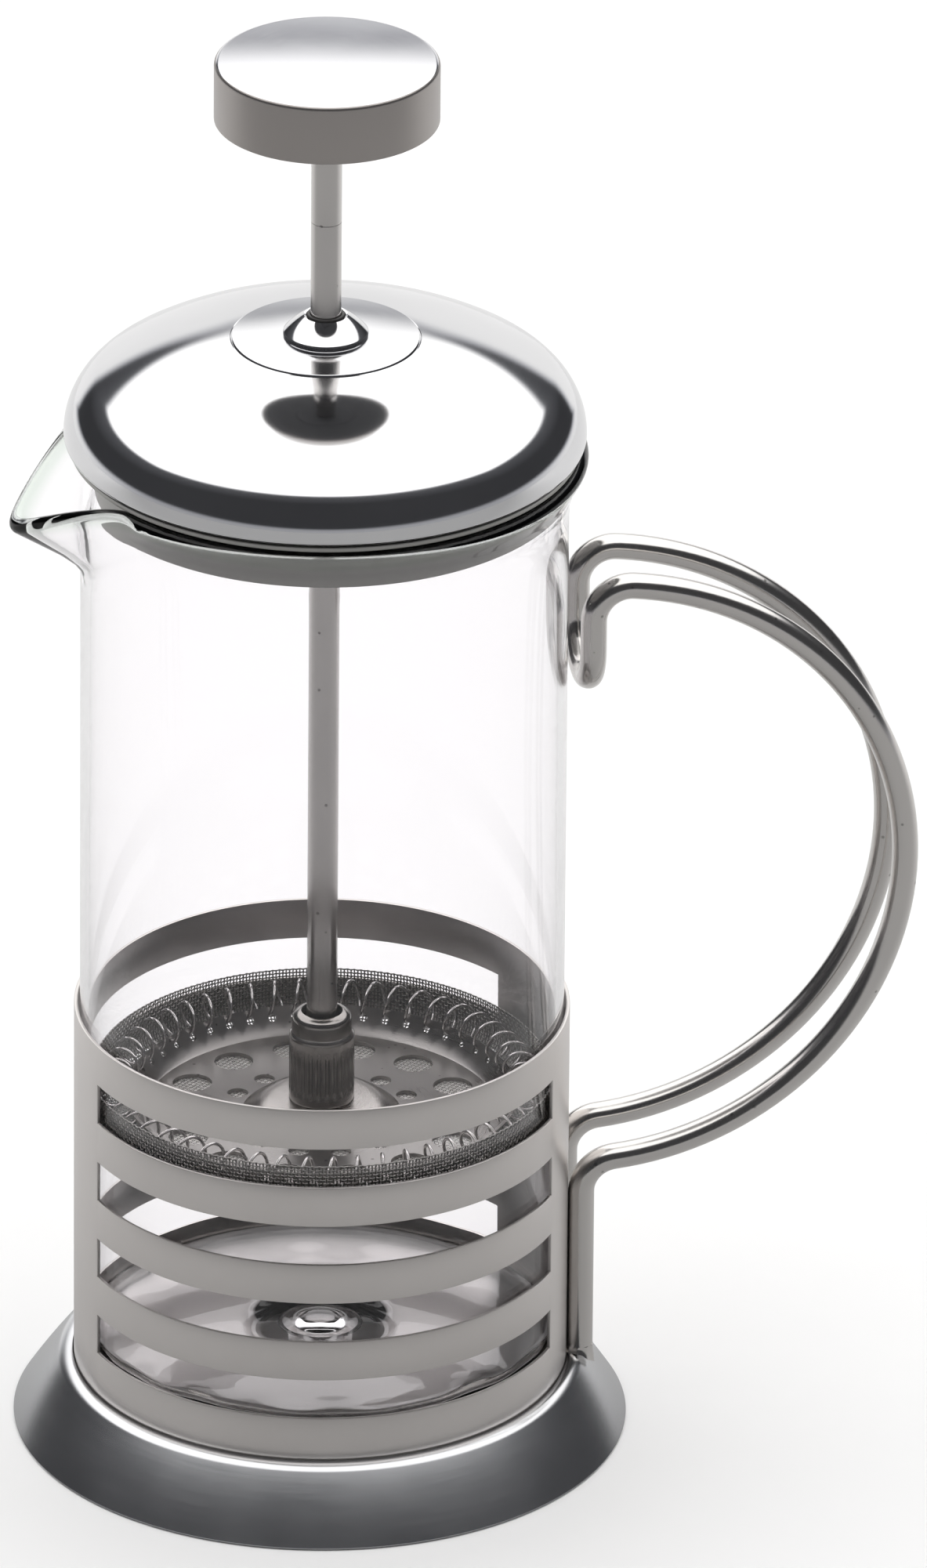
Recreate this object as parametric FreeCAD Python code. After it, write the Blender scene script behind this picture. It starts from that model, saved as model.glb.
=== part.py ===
import FreeCAD, Part
import math
import os

# French press: a glass beaker in a slotted steel frame with a wire handle, a domed lid,
# and a plunger with a perforated plate, a garter spring and a mesh screen.
# Millimetres. +Z is up, the origin is on the beaker's axis at the foot of the frame,
# +X points to the handle and -X to the spout.

V = FreeCAD.Vector
UP = V(0, 0, 1)
ORIGIN = V(0, 0, 0)

# ---- Driving dimensions ----

# Glass beaker
glass_radius = 35.0
glass_wall = 1.6
glass_height = 141.7
glass_floor = 2.0
glass_corner = 4.0
rim_flare = 2.7
rim_flare_height = 6.4
rim_bead = 2.2
rim_trim = 5.0
nub_radius = 3.9
nub_height = 0.9
nub_slope = 1.0

# Spout, pressed out of the beaker's rim
spout_reach = 10.7
spout_root_drop = 16.5
spout_tip_drop = 7.8
spout_half_angle = 33.0
spout_root_radius = 3.0
spout_growth = 0.15
spout_pinch = 1.6
spout_sections = 6
spout_overshoot = 2.0

# Clearances between pieces
slip = 0.3
rest_gap = 0.1
running = 0.05
coil_gap = 0.3

# Frame: spun base, welded sleeve, floors
base_height = 10.3
skirt_flare = 8.75
skirt_bulge = 0.45
skirt_sheet = 0.8
neck_lip = 1.3
neck_drop = 0.75
neck_land = 1.3
foot_flange = 4.0
plate_sheet = 0.8
plate_step = 1.2
plate_step_width = 2.0
plate_step_radius = 31.6
plate_inset = 2.4
holder_floor_height = 13.4
sleeve_sheet = 0.55
sleeve_tuck = 2.0
floor_rim_lift = 0.6
band_height = 6.2
slot_height = 6.2
slot_rows = 4
lowest_band_height = 10.7
handle_strip_angle = 31.6
spout_strip_angle = 15.5

# Handle: one wire, two runs side by side
wire_radius = 1.9
run_spacing = 13.5
bow_radius = 45.95
bow_centre_below_rim = 68.25
bow_centre_offset = 1.15
bend_radius = 5.2
hook_stand_off = 1.2
hook_length = 4.4

# Lid
liner_sheet = 0.8
liner_slip = 0.4
liner_drop = 6.7
liner_collar = 4.0
liner_corner = 0.3
liner_hole_radius = 3.4
lid_sheet = 0.8
lid_inset = 0.3
lid_edge_gap = 0.3
lid_widest_rise = 0.9
lid_shoulder_radius = 9.8
lid_shoulder_angle = 59.0
lid_crown_bulge = 1.2
lid_boss_radius = 13.7
lid_boss_rise = 15.8
lid_step = 0.25
ferrule_radius = 6.1
ferrule_height = 3.2
ferrule_spigot_radius = 4.0
guide_nut_radius = 6.5
guide_nut_height = 2.5
bush_wall = 0.45
bush_flange = 1.6
bush_length = 14.0
bush_flange_height = 1.0
bush_proud = 0.2
spigot_past_nut = 0.6
ferrule_side = 0.6
ferrule_mouth = 0.5

# Plunger
rod_radius = 2.2
plunge_travel = 28.5
floor_gap = 1.5
knob_gap = 2.1
stem_length = 16.0
knob_radius = 16.1
knob_height = 9.1
knob_edge = 0.7
knob_sheet = 0.5
knob_floor = 1.6
knob_floor_inset = 0.4
insert_radius = 5.0
thread_radius = 1.4
stud_radius = 1.9
stud_head_radius = 4.5
stud_head_height = 2.0
stud_end_gap = 0.5
stud_head_crown = 0.7
hub_radius = 4.7
hub_height = 13.8
hub_mouth_radius = 2.9
hub_mouth_depth = 2.6
hub_shoulder = 3.4
hub_edge = 0.3
hub_waist = 0.45
hub_lip = 0.4
flute_count = 24
flute_radius = 0.32
flute_length = 7.0
flute_lift = 1.5
washer_radius = 11.6
washer_top_radius = 8.2
washer_rise = 2.5
washer_sheet = 0.6
filter_sheet = 0.6
filter_flat_radius = 26.0
filter_rim_rise = 3.6
filter_rim_reach = 1.1
large_hole_radius = 2.85
large_hole_circle = 20.9
small_hole_radius = 1.5
small_hole_circle = 13.5
hole_count = 14
first_hole_angle = 14.7
coil_diameter = 5.4
coil_lift = 2.1
coil_wire = 0.5
coil_turns = 51
mesh_sheet = 0.3
mesh_corner = 3.5
mesh_height = 8.0
cross_sheet = 0.9
cross_radius = 27.0
cross_rim = 1.4
cross_arm = 4.0
cross_arms = 4
cross_hub_radius = 7.0
cross_ring = 3.0

# ---- Places worked out from them ----

glass_inner = glass_radius - glass_wall
glass_bottom_z = holder_floor_height + rest_gap
glass_floor_z = glass_bottom_z + glass_floor
rim_z = glass_bottom_z + glass_height
rim_radius = glass_radius + rim_flare

sleeve_inner = glass_radius + slip
sleeve_outer = sleeve_inner + sleeve_sheet
sleeve_top_z = lowest_band_height + band_height * (slot_rows + 1) + slot_height * slot_rows
sleeve_bottom_z = base_height - sleeve_tuck
neck_outer = sleeve_outer + skirt_sheet
foot_radius = sleeve_outer + skirt_flare

bow_centre_height = rim_z - bow_centre_below_rim
handle_x = math.sqrt((sleeve_outer + wire_radius) ** 2 - (run_spacing / 2) ** 2)
hook_x = glass_radius + hook_stand_off + wire_radius
bow_x = handle_x + bow_centre_offset

liner_outer = glass_inner - liner_slip
liner_seat_z = rim_z + rest_gap
liner_bottom_z = rim_z - liner_drop
lid_radius = rim_radius - lid_inset
lid_edge_z = liner_seat_z + liner_sheet + lid_edge_gap
lid_widest_z = lid_edge_z + lid_widest_rise
lid_boss_z = lid_edge_z + lid_boss_rise
ferrule_z = lid_boss_z + lid_step
ferrule_top_z = ferrule_z + ferrule_height
bush_bore = rod_radius + running
bush_outer = bush_bore + bush_wall
ferrule_bore = bush_outer + running
bush_top_z = ferrule_top_z + bush_proud
bush_bottom_z = bush_top_z - bush_length

plunger_bottom_z = glass_floor_z + floor_gap + plunge_travel
cross_z = plunger_bottom_z + stud_head_height
mesh_z = cross_z + cross_sheet
filter_z = mesh_z + mesh_sheet
filter_top_z = filter_z + filter_sheet
hub_z = filter_top_z + washer_rise
hub_top_z = hub_z + hub_height
mesh_outer = glass_inner - slip
coil_centre_radius = mesh_outer - mesh_sheet - coil_gap * 2 - coil_diameter / 2
coil_z = filter_z + coil_diameter / 2 + coil_lift
filter_rim_radius = coil_centre_radius - filter_rim_reach
rod_bottom_z = hub_z + hub_height / 2
knob_z = ferrule_top_z + knob_gap + plunge_travel
knob_top_z = knob_z + knob_height
stem_bottom_z = knob_z - stem_length


def on_section(point):
    """A point (radius, height) of a turned piece's half section, in the XZ plane."""
    return V(point[0], 0, point[1])


def turned(outline):
    """Revolve a closed half section round Z. A three-point entry is an arc through its middle."""
    edges = []
    here = on_section(outline[0])
    for entry in outline[1:] + [outline[0]]:
        if len(entry) == 3:
            middle = on_section(entry[0])
            there = on_section(entry[1])
            edges.append(Part.Arc(here, middle, there).toShape())
        else:
            there = on_section(entry)
            edges.append(Part.LineSegment(here, there).toShape())
        here = there
    return Part.Face(Part.Wire(edges)).revolve(ORIGIN, UP, 360)


def arc_to(middle, end):
    """An outline entry that runs on an arc through middle to end."""
    return (middle, end, "arc")


def corner_middle(centre, radius, angle):
    """The point of a round corner at an angle, counted up from outwards."""
    turn = math.radians(angle)
    return (centre[0] + radius * math.cos(turn), centre[1] + radius * math.sin(turn))


def disc(radius, bottom, height):
    """A plain cylinder on the axis."""
    return Part.makeCylinder(radius, height, V(0, 0, bottom), UP)


def ring(outer, inner, bottom, height):
    """A plain tube on the axis."""
    return disc(outer, bottom, height).cut(disc(inner, bottom, height))


def around(shape, count, first_angle=0.0):
    """Copies of a shape spaced evenly round the axis."""
    copies = []
    for index in range(count):
        copy = shape.copy()
        copy.rotate(ORIGIN, UP, first_angle + index * 360.0 / count)
        copies.append(copy)
    return copies


def sector(inner, outer, bottom, height, start, end):
    """A block bounded by two radii, two heights and two angles in degrees."""
    face = Part.makePlane(outer - inner, height, V(inner, 0, bottom), V(0, -1, 0), V(1, 0, 0))
    block = face.revolve(ORIGIN, UP, end - start)
    block.rotate(ORIGIN, UP, start)
    return block


# ---- Frame ----


def base_skirt():
    """Spun base: a gently domed skirt from the neck out to the foot and its flat flange."""
    shoulder_radius = neck_outer + neck_lip
    shoulder_z = base_height - neck_drop
    middle_radius = (foot_radius + shoulder_radius) / 2 + skirt_bulge
    middle_z = (shoulder_z + skirt_sheet) / 2 + skirt_bulge
    inner_shift = skirt_sheet * 1.15
    inner_middle = (middle_radius - inner_shift, middle_z - skirt_sheet / 2)
    return turned([
        (foot_radius - foot_flange, 0),
        (foot_radius - skirt_sheet / 2, 0),
        arc_to((foot_radius - 0.12, 0.12), (foot_radius, skirt_sheet / 2)),
        arc_to((middle_radius, middle_z), (shoulder_radius, shoulder_z)),
        (neck_outer, base_height),
        (sleeve_outer, base_height),
        (sleeve_outer, base_height - neck_land),
        (shoulder_radius - 1.0, shoulder_z - skirt_sheet),
        arc_to(inner_middle, (foot_radius - inner_shift, skirt_sheet)),
        (foot_radius - foot_flange, skirt_sheet),
    ])


def bottom_plate():
    """Flat disc that closes the underside, resting on the foot flange, with a pressed step."""
    outer = foot_radius - plate_inset
    step_outer = plate_step_radius
    step_inner = step_outer - plate_step_width
    low = skirt_sheet
    high = low + plate_step
    return turned([
        (0, high),
        (step_inner, high),
        (step_outer, low),
        (outer, low),
        (outer, low + plate_sheet),
        (step_outer, low + plate_sheet),
        (step_inner, high + plate_sheet),
        (0, high + plate_sheet),
    ])


def floor_plate():
    """Holder floor: a disc with a turned-down rim, welded inside the sleeve, that carries the glass."""
    top = holder_floor_height
    bottom = sleeve_bottom_z + floor_rim_lift
    outer = sleeve_inner
    corner = corner_middle((outer - plate_sheet, top - plate_sheet), plate_sheet, 45)
    return turned([
        (0, top - plate_sheet),
        (outer - plate_sheet, top - plate_sheet),
        (outer - plate_sheet, bottom),
        (outer, bottom),
        (outer, top - plate_sheet),
        arc_to(corner, (outer - plate_sheet, top)),
        (0, top),
    ])


def slotted_sleeve():
    """Rolled sheet sleeve: plain bands, with window slots on both sides between two plain strips."""
    pieces = []
    bottom = sleeve_bottom_z
    for row in range(slot_rows + 1):
        top = lowest_band_height + band_height + row * (band_height + slot_height)
        pieces.append(ring(sleeve_outer, sleeve_inner, bottom, top - bottom))
        bottom = top + slot_height
        if row < slot_rows:
            for middle, half in ((0, handle_strip_angle), (180, spout_strip_angle)):
                strip = sector(sleeve_inner, sleeve_outer, top, slot_height, middle - half, middle + half)
                pieces.append(strip)
    return pieces[0].fuse(pieces[1:])


def wire_run(start, end):
    """Straight stretch of handle wire."""
    return Part.makeCylinder(wire_radius, start.distanceToPoint(end), start, end - start)


def wire_bend(start, heading, centre, axis, angle):
    """Bend of handle wire that starts at a point with a heading and turns about an axis."""
    section = Part.Face(Part.Wire(Part.makeCircle(wire_radius, start, heading)))
    return section.revolve(centre, axis, angle)


def handle_wire():
    """One wire: two welded legs, two bows side by side, and a hook that joins them at the top."""
    side = run_spacing / 2
    bow_centre = V(bow_x, 0, bow_centre_height)
    low_centre_x = handle_x + bend_radius
    low_span = bow_radius + bend_radius
    low_angle = math.degrees(math.asin((low_centre_x - bow_x) / low_span))
    low_centre = V(low_centre_x, 0, bow_centre_height - low_span * math.cos(math.radians(low_angle)))
    high_centre_x = hook_x + bend_radius
    high_span = bow_radius - bend_radius
    high_angle = math.degrees(math.asin((high_centre_x - bow_x) / high_span))
    high_centre = V(high_centre_x, 0, bow_centre_height + high_span * math.cos(math.radians(high_angle)))
    leg_foot = V(handle_x, 0, base_height)
    leg_top = V(handle_x, 0, low_centre.z)
    bow_turn = math.radians(low_angle)
    bow_start = bow_centre + V(math.sin(bow_turn), 0, -math.cos(bow_turn)) * bow_radius
    bow_heading = V(math.cos(bow_turn), 0, math.sin(bow_turn))
    hook_top = V(hook_x, 0, high_centre.z)
    hook_foot = V(hook_x, 0, high_centre.z - hook_length)
    run = [
        wire_run(leg_foot, leg_top),
        wire_bend(leg_top, UP, low_centre, V(0, 1, 0), 90 - low_angle),
        wire_bend(bow_start, bow_heading, bow_centre, V(0, -1, 0), 180 - low_angle - high_angle),
        wire_bend(hook_top, UP, high_centre, V(0, 1, 0), 90 + high_angle),
        wire_run(hook_foot, hook_top),
    ]
    pieces = [wire_bend(hook_foot + V(0, side, 0), UP, hook_foot, V(-1, 0, 0), 180)]
    for piece in run:
        for shift in (-side, side):
            pieces.append(piece.translated(V(0, shift, 0)))
    return pieces[0].fuse(pieces[1:]).removeSplitter()


# ---- Beaker ----


def flared_radius(z):
    """Outside radius of the glass at a height, with the flare below the rim taken in."""
    part_way = min(max((z - (rim_z - rim_flare_height)) / rim_flare_height, 0.0), 1.0)
    return glass_radius + rim_flare * part_way


def spout_solid(inset):
    """The spout as a leaning solid with flat sides and a round tip, or its hollow inset by the wall."""
    slope = spout_reach / (spout_root_drop - spout_tip_drop)
    wires = []
    for step in range(1, spout_sections + 1):
        rise = (spout_root_drop + spout_overshoot) * step / spout_sections
        z = rim_z - spout_root_drop + rise
        tip = spout_root_radius + spout_growth * rise
        body = flared_radius(z) - spout_pinch
        reach = glass_radius + slope * rise - tip
        open_angle = math.acos((body - tip) / reach)
        across = V(-math.cos(open_angle), math.sin(open_angle), 0)
        back = V(across.x, -across.y, 0)
        centre = V(-reach, 0, z)
        axis_point = V(0, 0, z)
        far_side = axis_point + across * (body - inset)
        far_tip = centre + across * (tip - inset)
        nose = centre + V(inset - tip, 0, 0)
        near_tip = centre + back * (tip - inset)
        near_side = axis_point + back * (body - inset)
        wires.append(Part.Wire([
            Part.makeLine(far_side, far_tip),
            Part.Arc(far_tip, nose, near_tip).toShape(),
            Part.makeLine(near_tip, near_side),
            Part.makeLine(near_side, far_side),
        ]))
    return Part.makeLoft(wires, True, True)


def glass_beaker():
    """Blown glass beaker: round corner, thick floor with a centre nub, flared rim and a spout."""
    corner = glass_corner
    inner_corner = glass_corner - glass_wall
    flare_z = rim_z - rim_flare_height
    bead = rim_bead / 2
    bead_centre = (rim_radius - bead, rim_z - bead)
    outside = turned([
        (0, glass_bottom_z),
        (glass_radius - corner, glass_bottom_z),
        arc_to(
            corner_middle((glass_radius - corner, glass_bottom_z + corner), corner, -45),
            (glass_radius, glass_bottom_z + corner),
        ),
        (glass_radius, flare_z),
        corner_middle(bead_centre, bead, -50),
        arc_to(corner_middle(bead_centre, bead, 20), corner_middle(bead_centre, bead, 90)),
        (0, rim_z),
    ])
    inside = turned([
        (0, glass_floor_z + nub_height),
        (nub_radius - nub_slope, glass_floor_z + nub_height),
        (nub_radius, glass_floor_z),
        (glass_inner - inner_corner, glass_floor_z),
        arc_to(
            corner_middle((glass_inner - inner_corner, glass_floor_z + inner_corner), inner_corner, -45),
            (glass_inner, glass_floor_z + inner_corner),
        ),
        (glass_inner, flare_z + glass_wall / 2),
        (rim_radius - rim_bead, rim_z),
        (rim_radius - rim_bead, rim_z + rim_trim),
        (0, rim_z + rim_trim),
    ])
    glass = outside.fuse(spout_solid(0)).cut(inside).cut(spout_solid(glass_wall))
    shoulder_x = glass_radius * math.cos(math.radians(spout_half_angle))
    fall = math.degrees(math.atan2(spout_tip_drop, glass_radius + spout_reach - shoulder_x))
    room = glass_radius * 2
    above_spout = Part.makeBox(room, room * 2, room, V(-room, -room, 0))
    above_spout.rotate(ORIGIN, V(0, -1, 0), fall)
    above_spout.translate(V(-shoulder_x, 0, rim_z))
    above_rim = Part.makeBox(room * 2, room * 2, room, V(-room, -room, rim_z))
    return glass.cut([above_spout, above_rim])


# ---- Lid ----


def lid_liner():
    """Drawn pan that hangs in the glass: flange on the rim, skirt, flat floor and a guide collar."""
    inner = liner_outer - liner_sheet
    seat_outer = lid_radius - lid_sheet
    top = liner_seat_z + liner_sheet
    corner = (liner_outer - liner_corner, liner_bottom_z + liner_corner)
    return turned([
        (liner_hole_radius, liner_bottom_z),
        (liner_outer - liner_corner, liner_bottom_z),
        arc_to(corner_middle(corner, liner_corner, -45), (liner_outer, liner_bottom_z + liner_corner)),
        (liner_outer, liner_seat_z),
        (seat_outer, liner_seat_z),
        (seat_outer, top),
        (liner_outer, top),
        (liner_outer, top + liner_collar),
        (inner, top + liner_collar),
        (inner, liner_bottom_z + liner_sheet),
        (liner_hole_radius, liner_bottom_z + liner_sheet),
    ])


def bulged_middle(start, end, bulge):
    """The middle point of an arc between two points of a half section, bulged outwards and up."""
    along = (end[0] - start[0], end[1] - start[1])
    length = math.hypot(along[0], along[1])
    across = (along[1] / length, -along[0] / length)
    return ((start[0] + end[0]) / 2 + across[0] * bulge, (start[1] + end[1]) / 2 + across[1] * bulge)


def lid_dome():
    """Spun dome: curled lower edge, round shoulder, shallow crown and a flat boss with a step."""
    sheet = lid_sheet
    angle = lid_shoulder_angle
    centre = (lid_radius - lid_shoulder_radius, lid_widest_z)
    out_end = corner_middle(centre, lid_shoulder_radius, angle)
    out_middle = corner_middle(centre, lid_shoulder_radius, angle / 2)
    in_end = corner_middle(centre, lid_shoulder_radius - sheet, angle)
    in_middle = corner_middle(centre, lid_shoulder_radius - sheet, angle / 2)
    boss = (lid_boss_radius, lid_boss_z)
    boss_under = (lid_boss_radius - sheet * 0.4, lid_boss_z - sheet)
    step_radius = lid_boss_radius - 0.5
    return turned([
        (lid_radius - sheet, lid_edge_z),
        (lid_radius - sheet * 0.5, lid_edge_z),
        arc_to((lid_radius - 0.12, lid_edge_z + lid_widest_rise * 0.5), (lid_radius, lid_widest_z)),
        arc_to(out_middle, out_end),
        arc_to(bulged_middle(boss, out_end, lid_crown_bulge), boss),
        (step_radius, ferrule_z),
        (ferrule_spigot_radius, ferrule_z),
        (ferrule_spigot_radius, ferrule_z - sheet),
        (step_radius - sheet * 0.4, ferrule_z - sheet),
        boss_under,
        arc_to(bulged_middle(boss_under, in_end, lid_crown_bulge), in_end),
        arc_to(in_middle, (lid_radius - sheet, lid_widest_z)),
    ])


def lid_ferrule():
    """Domed collar on the lid with a threaded spigot through it, bored for the bush."""
    spigot_z = ferrule_z - lid_sheet - guide_nut_height - spigot_past_nut
    crown = 0.62
    return turned([
        (ferrule_bore, spigot_z),
        (ferrule_spigot_radius, spigot_z),
        (ferrule_spigot_radius, ferrule_z),
        (ferrule_radius, ferrule_z),
        (ferrule_radius, ferrule_z + ferrule_side),
        arc_to(
            (ferrule_bore + (ferrule_radius - ferrule_bore) * crown, ferrule_z + ferrule_height * 0.74),
            (ferrule_bore + ferrule_mouth, ferrule_top_z),
        ),
        (ferrule_bore, ferrule_top_z),
    ])


def guide_nut():
    """Hexagon nut that holds the ferrule from inside the lid."""
    bottom = ferrule_z - lid_sheet - guide_nut_height
    points = []
    for corner in range(7):
        turn = math.radians(60 * corner)
        points.append(V(guide_nut_radius * math.cos(turn), guide_nut_radius * math.sin(turn), bottom))
    block = Part.Face(Part.makePolygon(points)).extrude(V(0, 0, guide_nut_height))
    return block.cut(disc(ferrule_spigot_radius, bottom, guide_nut_height))


def rod_bush():
    """Thin plastic sleeve that guides the rod in the ferrule, with a flange under the spigot."""
    flange_outer = bush_outer + bush_flange
    return turned([
        (bush_bore, bush_bottom_z),
        (flange_outer, bush_bottom_z),
        (flange_outer, bush_bottom_z + bush_flange_height),
        (bush_outer, bush_bottom_z + bush_flange_height),
        (bush_outer, bush_top_z),
        (bush_bore, bush_top_z),
    ])


# ---- Plunger ----


def plunger_rod():
    """Long lower rod, with a threaded spigot at its top for the knob's stem."""
    rod = disc(rod_radius, rod_bottom_z, stem_bottom_z - rod_bottom_z)
    return rod.fuse(disc(thread_radius, stem_bottom_z, stem_length / 3)).removeSplitter()


def knob_stem():
    """Short upper rod under the knob, bored for the rod's spigot and fixed in the knob's insert."""
    top = knob_z + knob_height / 2
    stem = disc(rod_radius, stem_bottom_z, top - stem_bottom_z)
    return stem.cut(disc(thread_radius, stem_bottom_z, stem_length / 3))


def knob_shell():
    """Drawn cap of the knob: straight side, softly rounded edge and a flat top."""
    sheet = knob_sheet
    centre = (knob_radius - knob_edge, knob_top_z - knob_edge)
    return turned([
        (0, knob_top_z - sheet),
        (knob_radius - knob_edge, knob_top_z - sheet),
        arc_to(corner_middle(centre, knob_edge - sheet, 45), (knob_radius - sheet, knob_top_z - knob_edge)),
        (knob_radius - sheet, knob_z),
        (knob_radius, knob_z),
        (knob_radius, knob_top_z - knob_edge),
        arc_to(corner_middle(centre, knob_edge, 45), (knob_radius - knob_edge, knob_top_z)),
        (0, knob_top_z),
    ])


def knob_base():
    """Disc pressed into the knob's mouth, round the insert."""
    return ring(knob_radius - knob_sheet, insert_radius, knob_z + knob_floor_inset, knob_floor)


def knob_insert():
    """Bush inside the knob that takes the stem, from the base disc up to the shell's top."""
    top = knob_top_z - knob_sheet
    bottom = knob_z + knob_floor_inset
    insert = disc(insert_radius, bottom, top - bottom)
    return insert.cut(disc(rod_radius, bottom, knob_height / 2 - knob_floor_inset))


def filter_hub():
    """Fluted hub with a smooth waisted top, bored above for the rod and below for the stud."""
    shoulder_z = hub_top_z - hub_shoulder
    waist = (hub_radius - hub_waist * 1.7, hub_top_z - hub_waist * 2)
    hub = turned([
        (stud_radius, hub_z),
        (hub_radius - hub_edge, hub_z),
        (hub_radius, hub_z + hub_edge),
        (hub_radius, shoulder_z),
        (hub_radius - hub_waist, shoulder_z + hub_waist),
        arc_to(waist, (hub_mouth_radius + hub_lip, hub_top_z)),
        (hub_mouth_radius, hub_top_z - hub_edge),
        (hub_mouth_radius, hub_top_z - hub_mouth_depth),
        (rod_radius, hub_top_z - hub_mouth_depth),
        (rod_radius, rod_bottom_z),
        (stud_radius, rod_bottom_z),
    ])
    flute = Part.makeCylinder(flute_radius, flute_length, V(hub_radius, 0, hub_z + flute_lift), UP)
    return hub.cut(around(flute, flute_count))


def dished_washer():
    """Pressed washer under the hub, standing on its outer edge on the filter plate."""
    thick = washer_sheet
    return turned([
        (stud_radius, hub_z - thick),
        (washer_top_radius - thick / 2, hub_z - thick),
        (washer_radius - thick * 1.6, filter_top_z),
        (washer_radius, filter_top_z),
        (washer_top_radius, hub_z),
        (stud_radius, hub_z),
    ])


def filter_plate():
    """Perforated plate with two rings of holes and an upturned rim that the spring threads."""
    plate = turned([
        (stud_radius, filter_z),
        (filter_flat_radius, filter_z),
        (filter_rim_radius, filter_z + filter_rim_rise),
        (filter_rim_radius - filter_sheet, filter_top_z + filter_rim_rise),
        (filter_flat_radius - filter_sheet / 2, filter_top_z),
        (stud_radius, filter_top_z),
    ])
    depth = filter_sheet * 3
    holes = []
    for radius, circle in ((large_hole_radius, large_hole_circle), (small_hole_radius, small_hole_circle)):
        drill = Part.makeCylinder(radius, depth, V(circle, 0, filter_z - filter_sheet), UP)
        holes += around(drill, hole_count, first_hole_angle)
    return plate.cut(holes)


def coil_spring():
    """Garter spring round the filter plate: its turns, each a closed ring of wire."""
    turn = Part.makeTorus(
        (coil_diameter - coil_wire) / 2, coil_wire / 2, V(coil_centre_radius, 0, coil_z), V(0, 1, 0)
    )
    return Part.makeCompound(around(turn, coil_turns, 180.0 / coil_turns))


def mesh_screen():
    """Woven screen as a thin cup under the plate, its rim standing up beside the glass."""
    sheet = mesh_sheet
    outer = mesh_outer
    bottom = mesh_z
    centre = (outer - mesh_corner, bottom + mesh_corner)
    top = bottom + mesh_height
    return turned([
        (stud_radius, bottom),
        (outer - mesh_corner, bottom),
        arc_to(corner_middle(centre, mesh_corner, -45), (outer, bottom + mesh_corner)),
        (outer, top),
        (outer - sheet, top),
        (outer - sheet, bottom + mesh_corner),
        arc_to(corner_middle(centre, mesh_corner - sheet, -45), (outer - mesh_corner, bottom + sheet)),
        (stud_radius, bottom + sheet),
    ])


def cross_plate():
    """Lower plate with four openings between its arms and a turned-down rim."""
    top = cross_z + cross_sheet
    plate = turned([
        (stud_radius, cross_z),
        (cross_radius - cross_sheet, cross_z),
        (cross_radius - cross_sheet, cross_z - cross_rim),
        (cross_radius, cross_z - cross_rim),
        (cross_radius, top),
        (stud_radius, top),
    ])
    reach = cross_radius - cross_ring
    depth = cross_sheet + 2
    arm = Part.makeBox(2 * reach, 2 * cross_arm, depth, V(-reach, -cross_arm, cross_z - 1))
    next_arm = around(arm, cross_arms)[1]
    opening = sector(cross_hub_radius, reach, cross_z - 1, depth, 0, 360 / cross_arms).cut([arm, next_arm])
    return plate.cut(around(opening, cross_arms))


def clamp_stud():
    """Domed screw from below, through the whole filter stack into the hub."""
    head = turned([
        (0, plunger_bottom_z),
        (stud_head_radius * 0.45, plunger_bottom_z),
        arc_to((stud_head_radius * 0.86, plunger_bottom_z + stud_head_crown), (stud_head_radius, cross_z)),
        (0, cross_z),
    ])
    shank = disc(stud_radius, cross_z, rod_bottom_z - stud_end_gap - cross_z)
    return head.fuse(shank).removeSplitter()


NODES = {
    "base_skirt": base_skirt,
    "bottom_plate": bottom_plate,
    "floor_plate": floor_plate,
    "slotted_sleeve": slotted_sleeve,
    "handle_wire": handle_wire,
    "glass_beaker": glass_beaker,
    "lid_liner": lid_liner,
    "lid_dome": lid_dome,
    "lid_ferrule": lid_ferrule,
    "guide_nut": guide_nut,
    "rod_bush": rod_bush,
    "plunger_rod": plunger_rod,
    "knob_stem": knob_stem,
    "knob_shell": knob_shell,
    "knob_base": knob_base,
    "knob_insert": knob_insert,
    "filter_hub": filter_hub,
    "dished_washer": dished_washer,
    "filter_plate": filter_plate,
    "coil_spring": coil_spring,
    "mesh_screen": mesh_screen,
    "cross_plate": cross_plate,
    "clamp_stud": clamp_stud,
}

os.makedirs("parts", exist_ok=True)
for name, build in NODES.items():
    shape = build()
    box = shape.optimalBoundingBox()
    print(
        f"{name:15s} valid={shape.isValid()} solids={len(shape.Solids)} volume={shape.Volume:10.2f}"
        f" x {box.XMin:7.2f} {box.XMax:7.2f} z {box.ZMin:7.2f} {box.ZMax:7.2f}"
    )
    shape.exportStep(f"parts/{name}.step")
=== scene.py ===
"""French press: the looks of every piece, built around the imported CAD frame.

Each sub-assembly is a class that holds its own sizes, builds its meshes and dresses them. Heights and
outer radii come from the CAD frame's boxes, the rest are named sizes. Lengths are in metres.
"""

import logging
import math
from collections.abc import Callable, Sequence
from dataclasses import dataclass
from enum import Enum

import bmesh
import bpy
from mathutils import Matrix, Vector


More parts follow.
